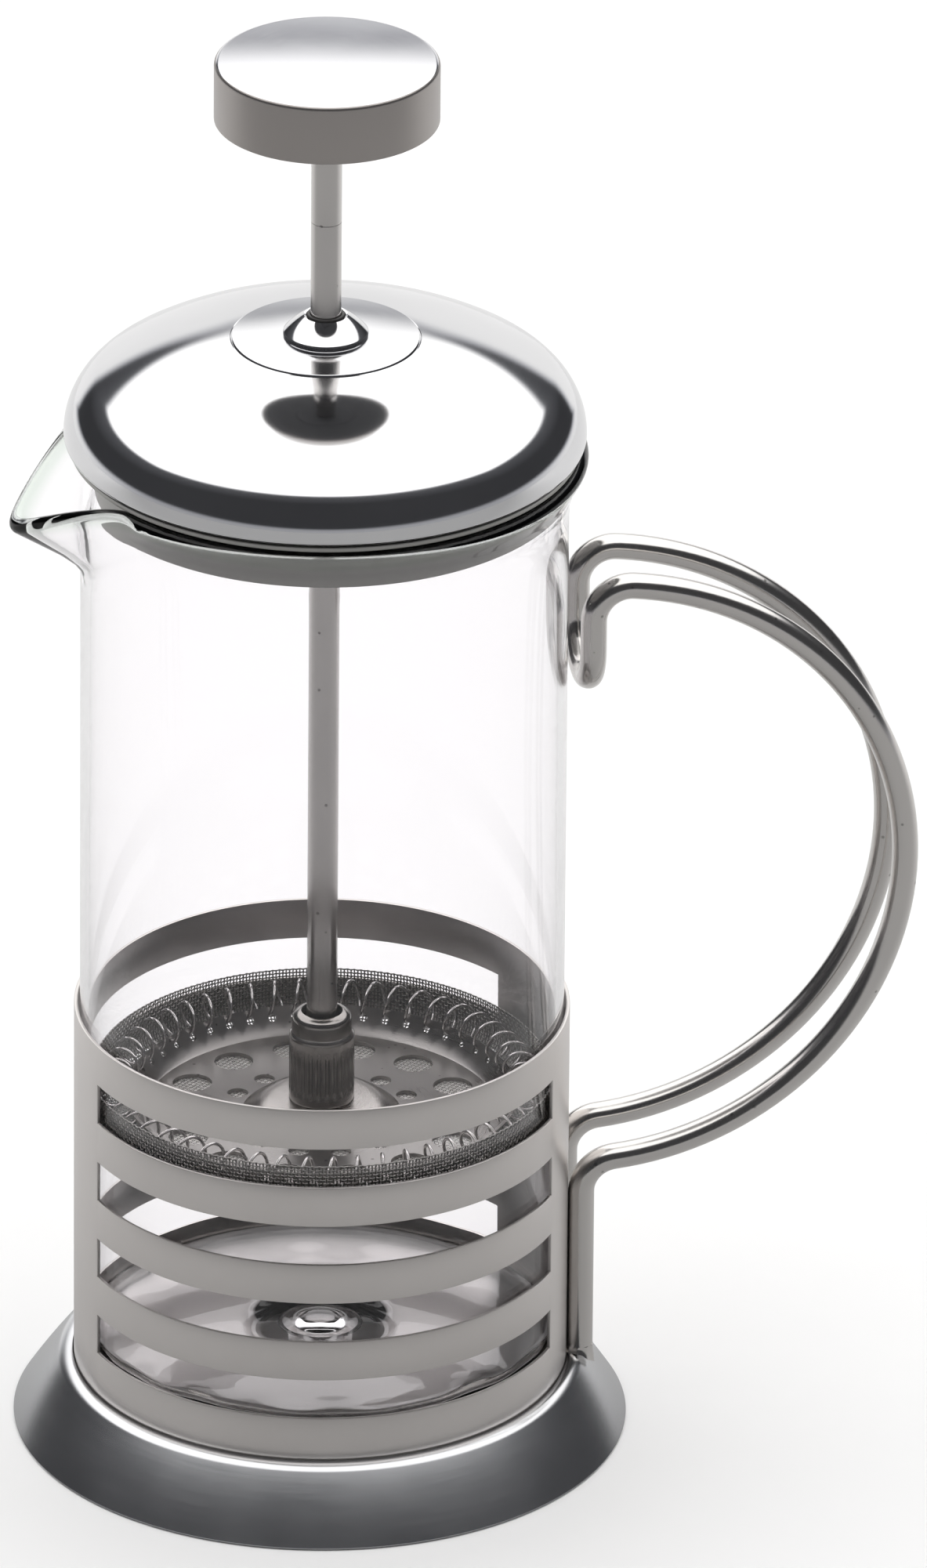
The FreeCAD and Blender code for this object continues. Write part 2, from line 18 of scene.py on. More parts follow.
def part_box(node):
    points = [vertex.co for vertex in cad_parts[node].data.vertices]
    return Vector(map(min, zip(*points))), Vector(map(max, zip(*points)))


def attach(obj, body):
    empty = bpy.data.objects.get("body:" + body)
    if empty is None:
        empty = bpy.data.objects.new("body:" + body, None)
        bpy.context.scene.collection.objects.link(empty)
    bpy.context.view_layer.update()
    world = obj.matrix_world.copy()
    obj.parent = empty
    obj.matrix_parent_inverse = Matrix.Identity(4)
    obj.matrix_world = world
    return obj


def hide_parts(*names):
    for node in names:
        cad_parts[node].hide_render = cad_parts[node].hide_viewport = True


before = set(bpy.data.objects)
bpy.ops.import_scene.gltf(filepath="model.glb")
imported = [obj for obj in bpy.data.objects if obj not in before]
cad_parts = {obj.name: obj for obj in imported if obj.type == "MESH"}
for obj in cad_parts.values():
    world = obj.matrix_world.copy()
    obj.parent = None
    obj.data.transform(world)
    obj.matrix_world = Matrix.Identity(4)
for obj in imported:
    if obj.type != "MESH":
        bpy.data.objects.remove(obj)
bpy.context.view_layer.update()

LOG = logging.getLogger("french_press")
MM = 0.001

Point2 = tuple[float, float]
Colour = tuple[float, float, float]


# ---- Places read from the frame ----


@dataclass(frozen=True)
class Extent:
    """The room that a CAD node takes: its bottom, its top and its largest radius round the axis."""

    bottom: float
    top: float
    radius: float
    low: Vector
    high: Vector


def extent(node: str) -> Extent:
    """Read a node's box from the frame.

    Args:
        node: Name of the CAD node.

    Returns:
        Its extent; the radius is half the width across Y, where every turned piece is full.
    """
    low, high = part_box(node)
    return Extent(low.z, high.z, (high.y - low.y) / 2, low, high)


# ---- Outlines ----


def arc(centre: Point2, radius: float, start: float, end: float, steps: int = 8) -> list[Point2]:
    """Points on an arc of a half section.

    Args:
        centre: Radius and height of the arc's centre.
        radius: Radius of the arc.
        start: First angle in degrees, counted up from outwards.
        end: Last angle in degrees.
        steps: Number of equal stretches.

    Returns:
        steps + 1 points, both ends included.
    """
    points = []
    for step in range(steps + 1):
        turn = math.radians(start + (end - start) * step / steps)
        points.append((centre[0] + radius * math.cos(turn), centre[1] + radius * math.sin(turn)))
    return points


def bowed(start: Point2, end: Point2, bulge: float, steps: int = 16) -> list[Point2]:
    """Points on a shallow arc between two points that rises by bulge at its middle.

    Args:
        start: First point.
        end: Last point.
        bulge: Rise at the middle, to the left of the way from start to end.
        steps: Number of equal stretches.

    Returns:
        steps + 1 points, both ends included.
    """
    length = math.dist(start, end)
    radius = (length * length / 4 + bulge * bulge) / (2 * abs(bulge))
    half = math.asin(min(length / 2 / radius, 1.0))
    along = ((end[0] - start[0]) / length, (end[1] - start[1]) / length)
    side = math.copysign(1.0, bulge)
    across = (-along[1] * side, along[0] * side)
    points = []
    for step in range(steps + 1):
        turn = -half + 2 * half * step / steps
        run = length / 2 + radius * math.sin(turn)
        rise = radius * (math.cos(turn) - math.cos(half))
        x = start[0] + along[0] * run + across[0] * rise
        y = start[1] + along[1] * run + across[1] * rise
        points.append((x, y))
    return points


def rounded(corners: Sequence[tuple[float, float, float]], steps: int = 4) -> list[Point2]:
    """Round the corners of a closed half section.

    Args:
        corners: Radius, height and rounding of each corner, in order.
        steps: Number of stretches in each round corner.

    Returns:
        The outline's points.
    """
    points: list[Point2] = []
    count = len(corners)
    for index, (r, z, rounding) in enumerate(corners):
        before = corners[index - 1]
        after = corners[(index + 1) % count]
        into = (before[0] - r, before[1] - z)
        out = (after[0] - r, after[1] - z)
        room = min(math.hypot(*into), math.hypot(*out)) / 2
        cut = min(rounding, room * 0.98)
        if rounding <= 0 or room < 1e-9 or r < 1e-9:
            points.append((r, z))
            continue
        first = (r + into[0] / math.hypot(*into) * cut, z + into[1] / math.hypot(*into) * cut)
        last = (r + out[0] / math.hypot(*out) * cut, z + out[1] / math.hypot(*out) * cut)
        for step in range(steps + 1):
            t = step / steps
            a, b, c = (1 - t) * (1 - t), 2 * t * (1 - t), t * t
            points.append((a * first[0] + b * r + c * last[0], a * first[1] + b * z + c * last[1]))
    return points


# ---- Meshes ----

Reshape = Callable[[float, float, float], tuple[float, float]]


def add_object(name: str, mesh: bpy.types.Mesh) -> bpy.types.Object:
    """Link a new object for a mesh and return it."""
    piece = bpy.data.objects.new(name, mesh)
    bpy.context.scene.collection.objects.link(piece)
    return piece


def smooth_by_angle(mesh: bpy.types.Mesh, degrees: float = 32.0) -> None:
    """Shade a mesh smooth, with its edges sharp where faces meet at more than an angle."""
    mesh.shade_smooth()
    mesh.set_sharp_from_angle(angle=math.radians(degrees))


def face_outwards(mesh: bpy.types.Mesh) -> None:
    """Turn a closed mesh's faces outwards if its volume comes out negative."""
    volume = 0.0
    for polygon in mesh.polygons:
        corners = [mesh.vertices[index].co for index in polygon.vertices]
        for second, third in zip(corners[1:], corners[2:]):
            volume += corners[0].dot(second.cross(third))
    if volume < 0:
        mesh.flip_normals()


def sections_mesh(name: str, sections: Sequence[Sequence[Point2]], closed: bool) -> bpy.types.Object:
    """Skin a ring of half sections, one for each angle round the axis.

    Args:
        name: Name of the piece.
        sections: One outline for each angle, all with the same number of points.
        closed: Whether each outline's last point joins its first. An open one ends on the axis.

    Returns:
        The new object, with its faces outwards.
    """
    around = len(sections)
    count = len(sections[0])
    vertices: list[tuple[float, float, float]] = []
    table: list[list[int]] = [[0] * count for _ in range(around)]
    for column in range(count):
        on_axis = all(abs(section[column][0]) < 1e-9 for section in sections)
        for row, section in enumerate(sections):
            r, z = section[column]
            if on_axis and row > 0:
                table[row][column] = table[0][column]
                continue
            turn = 2 * math.pi * row / around
            table[row][column] = len(vertices)
            vertices.append((r * math.cos(turn), r * math.sin(turn), z))
    faces = []
    for row in range(around):
        ahead = (row + 1) % around
        for column in range(count if closed else count - 1):
            beside = (column + 1) % count
            corners = [table[row][column], table[ahead][column], table[ahead][beside], table[row][beside]]
            distinct = list(dict.fromkeys(corners))
            if len(distinct) > 2:
                faces.append(distinct)
    mesh = bpy.data.meshes.new(name)
    mesh.from_pydata(vertices, [], faces)
    mesh.validate()
    face_outwards(mesh)
    smooth_by_angle(mesh)
    return add_object(name, mesh)


def lathe(
    name: str,
    outline: Sequence[Point2],
    around: int = 192,
    closed: bool = True,
    reshape: Reshape | None = None,
) -> bpy.types.Object:
    """Turn a half section round the axis.

    Args:
        name: Name of the piece.
        outline: Radius and height of each point.
        around: Number of segments round the axis.
        closed: Whether the outline's last point joins its first.
        reshape: Optional change of a point, from (radius, height, angle) to (radius, height).

    Returns:
        The new object.
    """
    sections = []
    for row in range(around):
        turn = 2 * math.pi * row / around
        sections.append([reshape(r, z, turn) if reshape else (r, z) for r, z in outline])
    return sections_mesh(name, sections, closed)


def baked(piece: bpy.types.Object, degrees: float = 32.0) -> bpy.types.Object:
    """Apply a piece's modifiers, face it outwards and shade it.

    Args:
        piece: Piece with live modifiers.
        degrees: Angle above which an edge stays sharp.

    Returns:
        The same object with a plain mesh.
    """
    bpy.context.view_layer.update()
    graph = bpy.context.evaluated_depsgraph_get()
    mesh = bpy.data.meshes.new_from_object(piece.evaluated_get(graph), depsgraph=graph)
    old = piece.data
    piece.modifiers.clear()
    piece.data = mesh
    bpy.data.meshes.remove(old)
    mesh.name = piece.name
    face_outwards(mesh)
    smooth_by_angle(mesh, degrees)
    return piece


# ---- Node sketches ----


class Sketch:
    """A node tree being drawn: it adds nodes, sets their inputs and links them."""

    def __init__(self, tree: bpy.types.NodeTree) -> None:
        """Start on a tree, which may already hold nodes."""
        self.tree = tree

    def put(self, kind: str, inputs: dict | None = None, **settings: object) -> bpy.types.Node:
        """Add a node.

        Args:
            kind: Blender's name of the node type.
            inputs: Value, socket or list of sockets for each input, by name or number.
            settings: The node's own properties.

        Returns:
            The new node.
        """
        node = self.tree.nodes.new(kind)
        for key, value in settings.items():
            setattr(node, key, value)
        for key, value in (inputs or {}).items():
            for one in reversed(value) if isinstance(value, list) else [value]:
                if isinstance(one, bpy.types.NodeSocket):
                    self.tree.links.new(one, node.inputs[key])
                else:
                    node.inputs[key].default_value = one
        return node

    def math(
        self, operation: str, first: object, second: object = 0.0, third: object = 0.0
    ) -> bpy.types.NodeSocket:
        """Add a Math node and return its output."""
        values = {0: first, 1: second, 2: third}
        return self.put("ShaderNodeMath", values, operation=operation).outputs[0]

    def vector(self, x: object, y: object, z: object) -> bpy.types.NodeSocket:
        """Add a Combine XYZ node and return its output."""
        return self.put("ShaderNodeCombineXYZ", {0: x, 1: y, 2: z}).outputs[0]


SOCKETS = {float: "NodeSocketFloat", int: "NodeSocketInt", bpy.types.Material: "NodeSocketMaterial"}


def geometry_tree(name: str, inputs: dict[str, type]) -> tuple[Sketch, bpy.types.Node]:
    """Start a Geometry Nodes tree with named inputs and one geometry in and out.

    Args:
        name: Name of the tree.
        inputs: Type of each input, by name.

    Returns:
        The sketch and the group input node.
    """
    tree = bpy.data.node_groups.new(name, "GeometryNodeTree")
    tree.is_modifier = True
    tree.interface.new_socket("Geometry", in_out="INPUT", socket_type="NodeSocketGeometry")
    for label, kind in inputs.items():
        tree.interface.new_socket(label, in_out="INPUT", socket_type=SOCKETS[kind])
    tree.interface.new_socket("Geometry", in_out="OUTPUT", socket_type="NodeSocketGeometry")
    sketch = Sketch(tree)
    return sketch, sketch.put("NodeGroupInput")


def end_tree(
    sketch: Sketch, geometry: bpy.types.NodeSocket, material: bpy.types.NodeSocket
) -> bpy.types.NodeTree:
    """Close a tree with Realize Instances and Set Material, and return it."""
    real = sketch.put("GeometryNodeRealizeInstances", {0: geometry})
    dressed = sketch.put("GeometryNodeSetMaterial", {0: real.outputs[0], "Material": material})
    sketch.put("NodeGroupOutput", {0: dressed.outputs[0]})
    return sketch.tree


def grown(
    name: str, tree: bpy.types.NodeTree, values: dict[str, object], guide: bpy.types.Mesh | None = None
) -> bpy.types.Object:
    """Run a Geometry Nodes tree and keep its result as a plain mesh.

    Args:
        name: Name of the piece.
        tree: The tree to run.
        values: The tree's inputs, by name.
        guide: Mesh that the tree starts from, if it needs one.

    Returns:
        A new object with no modifiers.
    """
    carrier = add_object(name + "_guide", guide or bpy.data.meshes.new(name + "_guide"))
    modifier = carrier.modifiers.new("grow", "NODES")
    modifier.node_group = tree
    for item in tree.interface.items_tree:
        if item.item_type == "SOCKET" and item.in_out == "INPUT" and item.name in values:
            modifier[item.identifier] = values[item.name]
    bpy.context.view_layer.update()
    graph = bpy.context.evaluated_depsgraph_get()
    mesh = bpy.data.meshes.new_from_object(carrier.evaluated_get(graph), depsgraph=graph)
    mesh.name = name
    old = carrier.data
    bpy.data.objects.remove(carrier)
    bpy.data.meshes.remove(old)
    return add_object(name, mesh)


# ---- Finishes ----

MARK_DEPTH = 0.02 * MM
GRAIN_DEPTH = 0.05 * MM
LOWEST_ROUGHNESS = 0.02
SMUDGE_SHADE = 0.12
SPECK_SHADE = 0.45


class Marks(Enum):
    """Which way the fine marks of a finish run."""

    AROUND = "around"
    ALONG = "along"
    UP = "up"
    NONE = "none"


def shader_group(name: str, inputs: dict[str, float | Vector], outputs: Sequence[str]) -> Sketch:
    """Start a shader node group.

    Args:
        name: Name of the group.
        inputs: Default of each input; a Vector makes a vector socket, a number a float socket.
        outputs: Names of its float outputs.

    Returns:
        A sketch on the new group.
    """
    tree = bpy.data.node_groups.new(name, "ShaderNodeTree")
    for label, default in inputs.items():
        kind = "NodeSocketVector" if isinstance(default, Vector) else "NodeSocketFloat"
        socket = tree.interface.new_socket(label, in_out="INPUT", socket_type=kind)
        socket.default_value = default
    for label in outputs:
        tree.interface.new_socket(label, in_out="OUTPUT", socket_type="NodeSocketFloat")
    return Sketch(tree)


def group_once(name: str, draw: Callable[[str], bpy.types.NodeTree]) -> bpy.types.NodeTree:
    """Return a node group by name, drawn the first time that it is asked for."""
    return bpy.data.node_groups.get(name) or draw(name)


def draw_turned(name: str) -> bpy.types.NodeTree:
    """Draw the group for marks that run round the axis, fine across radius and height."""
    sketch = shader_group(name, {"Position": Vector((0, 0, 0)), "Fineness": 1.0, "Length": 1.0}, ["Mark"])
    given = sketch.put("NodeGroupInput")
    split = sketch.put("ShaderNodeSeparateXYZ", {0: given.outputs["Position"]})
    x, y, z = split.outputs
    squares = sketch.math("ADD", sketch.math("MULTIPLY", x, x), sketch.math("MULTIPLY", y, y))
    radius = sketch.math("SQRT", squares)
    fine_radius = sketch.math("MULTIPLY", radius, given.outputs["Fineness"])
    fine_height = sketch.math("MULTIPLY", z, given.outputs["Fineness"])
    length = given.outputs["Length"]
    unit_x = sketch.math("MULTIPLY", sketch.math("DIVIDE", x, radius), length)
    unit_y = sketch.math("MULTIPLY", sketch.math("DIVIDE", y, radius), length)
    across = sketch.math("ADD", fine_radius, fine_height)
    noise = sketch.put(
        "ShaderNodeTexNoise",
        {"Vector": sketch.vector(unit_x, unit_y, across), "Scale": 1.0, "Detail": 3.0, "Roughness": 0.65},
    )
    sketch.put("NodeGroupOutput", {"Mark": noise.outputs[0]})
    return sketch.tree


def draw_drawn(name: str) -> bpy.types.NodeTree:
    """Draw the group for marks that run along a wire, from its own around and along attributes."""
    defaults = {"Around": Vector((0, 0, 0)), "Along": 0.0, "Fineness": 1.0, "Length": 1.0}
    sketch = shader_group(name, defaults, ["Mark"])
    given = sketch.put("NodeGroupInput")
    split = sketch.put("ShaderNodeSeparateXYZ", {0: given.outputs["Around"]})
    x = sketch.math("MULTIPLY", split.outputs[0], given.outputs["Fineness"])
    y = sketch.math("MULTIPLY", split.outputs[1], given.outputs["Fineness"])
    z = sketch.math("MULTIPLY", given.outputs["Along"], given.outputs["Length"])
    noise = sketch.put(
        "ShaderNodeTexNoise",
        {"Vector": sketch.vector(x, y, z), "Scale": 1.0, "Detail": 3.0, "Roughness": 0.6},
    )
    sketch.put("NodeGroupOutput", {"Mark": noise.outputs[0]})
    return sketch.tree


def draw_upright(name: str) -> bpy.types.NodeTree:
    """Draw the group for marks that run up a piece."""
    sketch = shader_group(name, {"Position": Vector((0, 0, 0)), "Fineness": 1.0, "Length": 1.0}, ["Mark"])
    given = sketch.put("NodeGroupInput")
    split = sketch.put("ShaderNodeSeparateXYZ", {0: given.outputs["Position"]})
    x = sketch.math("MULTIPLY", split.outputs[0], given.outputs["Fineness"])
    y = sketch.math("MULTIPLY", split.outputs[1], given.outputs["Fineness"])
    z = sketch.math("MULTIPLY", split.outputs[2], given.outputs["Length"])
    noise = sketch.put(
        "ShaderNodeTexNoise",
        {"Vector": sketch.vector(x, y, z), "Scale": 1.0, "Detail": 3.0, "Roughness": 0.6},
    )
    sketch.put("NodeGroupOutput", {"Mark": noise.outputs[0]})
    return sketch.tree


def draw_handling(name: str) -> bpy.types.NodeTree:
    """Draw the group for handling marks: soft smudges and tiny specks."""
    defaults = {
        "Position": Vector((0, 0, 0)),
        "Smudge Scale": 60.0,
        "Speck Scale": 900.0,
        "Speck Amount": 0.2,
    }
    speck_size = 0.22
    sketch = shader_group(name, defaults, ["Smudge", "Speck"])
    given = sketch.put("NodeGroupInput")
    soft = sketch.put(
        "ShaderNodeTexNoise",
        {"Vector": given.outputs["Position"], "Scale": given.outputs["Smudge Scale"], "Detail": 4.0},
    )
    cells = sketch.put(
        "ShaderNodeTexVoronoi", {"Vector": given.outputs["Position"], "Scale": given.outputs["Speck Scale"]}
    )
    near = sketch.math("LESS_THAN", cells.outputs["Distance"], speck_size)
    chance = sketch.put("ShaderNodeSeparateXYZ", {0: cells.outputs["Color"]}).outputs[0]
    picked = sketch.math("LESS_THAN", chance, given.outputs["Speck Amount"])
    speck = sketch.math("MULTIPLY", near, picked)
    sketch.put("NodeGroupOutput", {"Smudge": soft.outputs[0], "Speck": speck})
    return sketch.tree


@dataclass(frozen=True)
class MetalFinish:
    """A metal surface: its colour, gloss, the way its marks run, how much it has been handled, and an
    optional satin part below a height whose darker colour is painted shade.
    """

    name: str
    colour: Colour
    roughness: float
    marks: Marks = Marks.AROUND
    fineness: float = 9000.0
    length: float = 3.0
    depth: float = 0.03
    streaks: float = 0.10
    smudge: float = 0.06
    specks: float = 0.0
    satin_and_shade_below: float | None = None
    satin_roughness: float = 0.3
    satin_painted_shade_colour: Colour = (0.4, 0.4, 0.4)

    def mark(self, sketch: Sketch, position: bpy.types.NodeSocket) -> bpy.types.NodeSocket | None:
        """Add the marks' group.

        Args:
            sketch: The material's sketch.
            position: Object coordinates.

        Returns:
            The mark's height from 0 to 1, or None where the finish has no marks.
        """
        if self.marks is Marks.NONE:
            return None
        if self.marks is Marks.ALONG:
            around = sketch.put("ShaderNodeAttribute", attribute_name="around").outputs["Vector"]
            along = sketch.put("ShaderNodeAttribute", attribute_name="along").outputs["Fac"]
            node = sketch.put("ShaderNodeGroup", node_tree=group_once("marks_along_wire", draw_drawn))
            sketch.tree.links.new(around, node.inputs["Around"])
            sketch.tree.links.new(along, node.inputs["Along"])
        else:
            if self.marks is Marks.UP:
                tree = group_once("marks_upright", draw_upright)
            else:
                tree = group_once("marks_turned", draw_turned)
            node = sketch.put("ShaderNodeGroup", node_tree=tree)
            sketch.tree.links.new(position, node.inputs["Position"])
        node.inputs["Fineness"].default_value = self.fineness
        node.inputs["Length"].default_value = self.length
        return node.outputs["Mark"]

    def build(self) -> bpy.types.Material:
        """Make the material and return it."""
        material = bpy.data.materials.new(self.name)
        material.use_nodes = True
        sketch = Sketch(material.node_tree)
        shader = material.node_tree.nodes["Principled BSDF"]
        shader.inputs["Metallic"].default_value = 1.0
        position = sketch.put("ShaderNodeTexCoord").outputs["Object"]
        handling = sketch.put("ShaderNodeGroup", node_tree=group_once("handling", draw_handling))
        sketch.tree.links.new(position, handling.inputs["Position"])
        handling.inputs["Speck Amount"].default_value = self.specks
        mark = self.mark(sketch, position)
        smudge = handling.outputs["Smudge"]
        wear = sketch.math("MULTIPLY_ADD", smudge, self.smudge, self.roughness - self.smudge / 2)
        colour_socket: object = (*self.colour, 1.0)
        # Below the height the finish is rougher satin and its colour darker: the roughness is real, the
        # darker colour is painted shade.
        if self.satin_and_shade_below is not None:
            height = sketch.put("ShaderNodeSeparateXYZ", {0: position}).outputs[2]
            satin = sketch.math("LESS_THAN", height, self.satin_and_shade_below)
            wear = sketch.math("MULTIPLY_ADD", satin, self.satin_roughness - self.roughness, wear)
            colour_socket = sketch.put(
                "ShaderNodeMix",
                {0: satin, 6: (*self.colour, 1), 7: (*self.satin_painted_shade_colour, 1)},
                data_type="RGBA",
            ).outputs[2]
        if mark is not None:
            even = sketch.math("SUBTRACT", wear, self.streaks / 2)
            wear = sketch.math("MULTIPLY_ADD", mark, self.streaks, even)
            bump = sketch.put(
                "ShaderNodeBump", {"Height": mark, "Strength": self.depth, "Distance": MARK_DEPTH}
            )
            sketch.tree.links.new(bump.outputs[0], shader.inputs["Normal"])
        sketch.tree.links.new(sketch.math("MAXIMUM", wear, LOWEST_ROUGHNESS), shader.inputs["Roughness"])
        shade = sketch.math("MULTIPLY_ADD", smudge, SMUDGE_SHADE, 1.0 - SMUDGE_SHADE / 2)
        dark = sketch.math("SUBTRACT", shade, sketch.math("MULTIPLY", handling.outputs["Speck"], SPECK_SHADE))
        tinted = sketch.put(
            "ShaderNodeMix", {0: 1.0, 6: colour_socket}, data_type="RGBA", blend_type="MULTIPLY"
        )
        sketch.tree.links.new(sketch.vector(dark, dark, dark), tinted.inputs[7])
        sketch.tree.links.new(tinted.outputs[2], shader.inputs["Base Color"])
        return material


@dataclass(frozen=True)
class GlassFinish:
    """Clear glass whose worked edge is faintly green."""

    name: str
    colour: Colour
    edge_colour: Colour
    ior: float = 1.36

    def build(self) -> bpy.types.Material:
        """Make the material and return it."""
        material = bpy.data.materials.new(self.name)
        material.use_nodes = True
        sketch = Sketch(material.node_tree)
        shader = material.node_tree.nodes["Principled BSDF"]
        shader.inputs["Transmission Weight"].default_value = 1.0
        shader.inputs["IOR"].default_value = self.ior
        position = sketch.put("ShaderNodeTexCoord").outputs["Object"]
        edge = sketch.put("ShaderNodeAttribute", attribute_name="edge").outputs["Fac"]
        colour = sketch.put(
            "ShaderNodeMix", {0: edge, 6: (*self.colour, 1), 7: (*self.edge_colour, 1)}, data_type="RGBA"
        )
        sketch.tree.links.new(colour.outputs[2], shader.inputs["Base Color"])
        handling = sketch.put("ShaderNodeGroup", node_tree=group_once("handling", draw_handling))
        sketch.tree.links.new(position, handling.inputs["Position"])
        rough = sketch.math("MULTIPLY", sketch.math("POWER", handling.outputs["Smudge"], 6.0), 0.25)
        sketch.tree.links.new(rough, shader.inputs["Roughness"])
        return material


@dataclass(frozen=True)
class PlasticFinish:
    """Moulded plastic with a fine spark texture."""

    name: str
    colour: Colour
    roughness: float
    grain: float = 2500.0

    def build(self) -> bpy.types.Material:
        """Make the material and return it."""
        material = bpy.data.materials.new(self.name)
        material.use_nodes = True
        sketch = Sketch(material.node_tree)
        shader = material.node_tree.nodes["Principled BSDF"]
        position = sketch.put("ShaderNodeTexCoord").outputs["Object"]
        noise = sketch.put("ShaderNodeTexNoise", {"Vector": position, "Scale": self.grain, "Detail": 2.0})
        bump = sketch.put(
            "ShaderNodeBump", {"Height": noise.outputs[0], "Strength": 0.15, "Distance": GRAIN_DEPTH}
        )
        sketch.tree.links.new(bump.outputs[0], shader.inputs["Normal"])
        rough = sketch.math("MULTIPLY_ADD", noise.outputs[0], 0.15, self.roughness)
        sketch.tree.links.new(rough, shader.inputs["Roughness"])
        pale = tuple(min(1.0, value * 1.15 + 0.01) for value in self.colour)
        colour = sketch.put(
            "ShaderNodeMix", {0: noise.outputs[0], 6: (*self.colour, 1), 7: (*pale, 1)}, data_type="RGBA"
        )
        sketch.tree.links.new(colour.outputs[2], shader.inputs["Base Color"])
        return material


class Finish(Enum):
    """Every finish on the press."""

    POLISHED = MetalFinish(
        "polished_spun_steel", (0.74, 0.74, 0.75), 0.085, depth=0.012, streaks=0.03, smudge=0.05
    )
    BASE = MetalFinish("spun_base_steel", (0.66, 0.665, 0.68), 0.22, depth=0.03, streaks=0.06, smudge=0.08)
    SATIN = MetalFinish(
        "satin_sheet_steel", (0.73, 0.70, 0.68), 0.36, fineness=14000.0, depth=0.10, smudge=0.05
    )
    WIRE = MetalFinish(
        "drawn_wire_steel", (0.66, 0.64, 0.62), 0.17, Marks.ALONG, 26.0, 400.0, depth=0.08, specks=0.03
    )
    ROD = MetalFinish(
        "ground_rod_steel", (0.62, 0.60, 0.585), 0.24, Marks.UP, 9000.0, 160.0, depth=0.06, specks=0.10
    )
    LINER = MetalFinish("grey_pan_steel", (0.42, 0.415, 0.40), 0.42, depth=0.06)
    KNOB = MetalFinish(
        "knob_steel",
        (0.74, 0.74, 0.76),
        0.08,
        depth=0.02,
        streaks=0.04,
        # The knob's sides: satin, and darker in colour as painted shade under the pale polished top.
        satin_and_shade_below=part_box("knob_shell")[1].z - 0.35 * MM,
        satin_roughness=0.34,
        satin_painted_shade_colour=(0.40, 0.375, 0.36),
    )
    FILTER = MetalFinish(
        "filter_plate_steel", (0.36, 0.345, 0.335), 0.30, smudge=0.22, depth=0.05, specks=0.06
    )
    WASHER = MetalFinish("washer_steel", (0.42, 0.40, 0.385), 0.26, smudge=0.10, depth=0.04)
    HUB = MetalFinish("hub_steel", (0.34, 0.325, 0.31), 0.16, smudge=0.10, depth=0.03)
    SPRING = MetalFinish("spring_steel", (0.72, 0.70, 0.69), 0.16, Marks.NONE, smudge=0.10)
    # One screen wire in two colours: the rim copy dark as painted shade, the floor copy near white as painted
    # light.
    MESH = MetalFinish("mesh_rim_painted_shade", (0.40, 0.385, 0.37), 0.34, Marks.NONE, smudge=0.15)
    MESH_FLAT_PAINTED_LIGHT = MetalFinish("mesh_floor_painted_light", (0.92, 0.90, 0.87), 0.48, Marks.NONE, smudge=0.15)
    BRASS = MetalFinish("turned_brass", (0.75, 0.56, 0.28), 0.22)
    GLASS = GlassFinish("clear_glass", (0.996, 0.988, 0.998), (0.80, 0.86, 0.81))
    NYLON = PlasticFinish("nylon_bush", (0.045, 0.043, 0.042), 0.36)
    BLACK = PlasticFinish("black_knob_base", (0.055, 0.055, 0.06), 0.38)


class Wardrobe:
    """Makes each finish's material once and puts it on pieces."""

    def __init__(self) -> None:
        """Start with no materials made."""
        self.made: dict[Finish, bpy.types.Material] = {}

    def material(self, finish: Finish) -> bpy.types.Material:
        """Return a finish's material, made the first time that it is asked for."""
        if finish not in self.made:
            self.made[finish] = finish.value.build()
        return self.made[finish]

    def dress(self, piece: bpy.types.Object, finish: Finish, body: str, slot: str, *nodes: str) -> None:
        """Give a piece its material and its place in the press.

        Args:
            piece: The finished piece.
            finish: Its finish.
            body: CAD body that it moves with.
            slot: The record's material slot; not used.
            nodes: CAD nodes that it stands for.
        """
        piece.data.materials.clear()
        piece.data.materials.append(self.material(finish))
        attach(piece, body)
        if nodes:
            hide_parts(*nodes)
        LOG.info("%s: %d faces on %s", piece.name, len(piece.data.polygons), body)


# ---- Frame ----


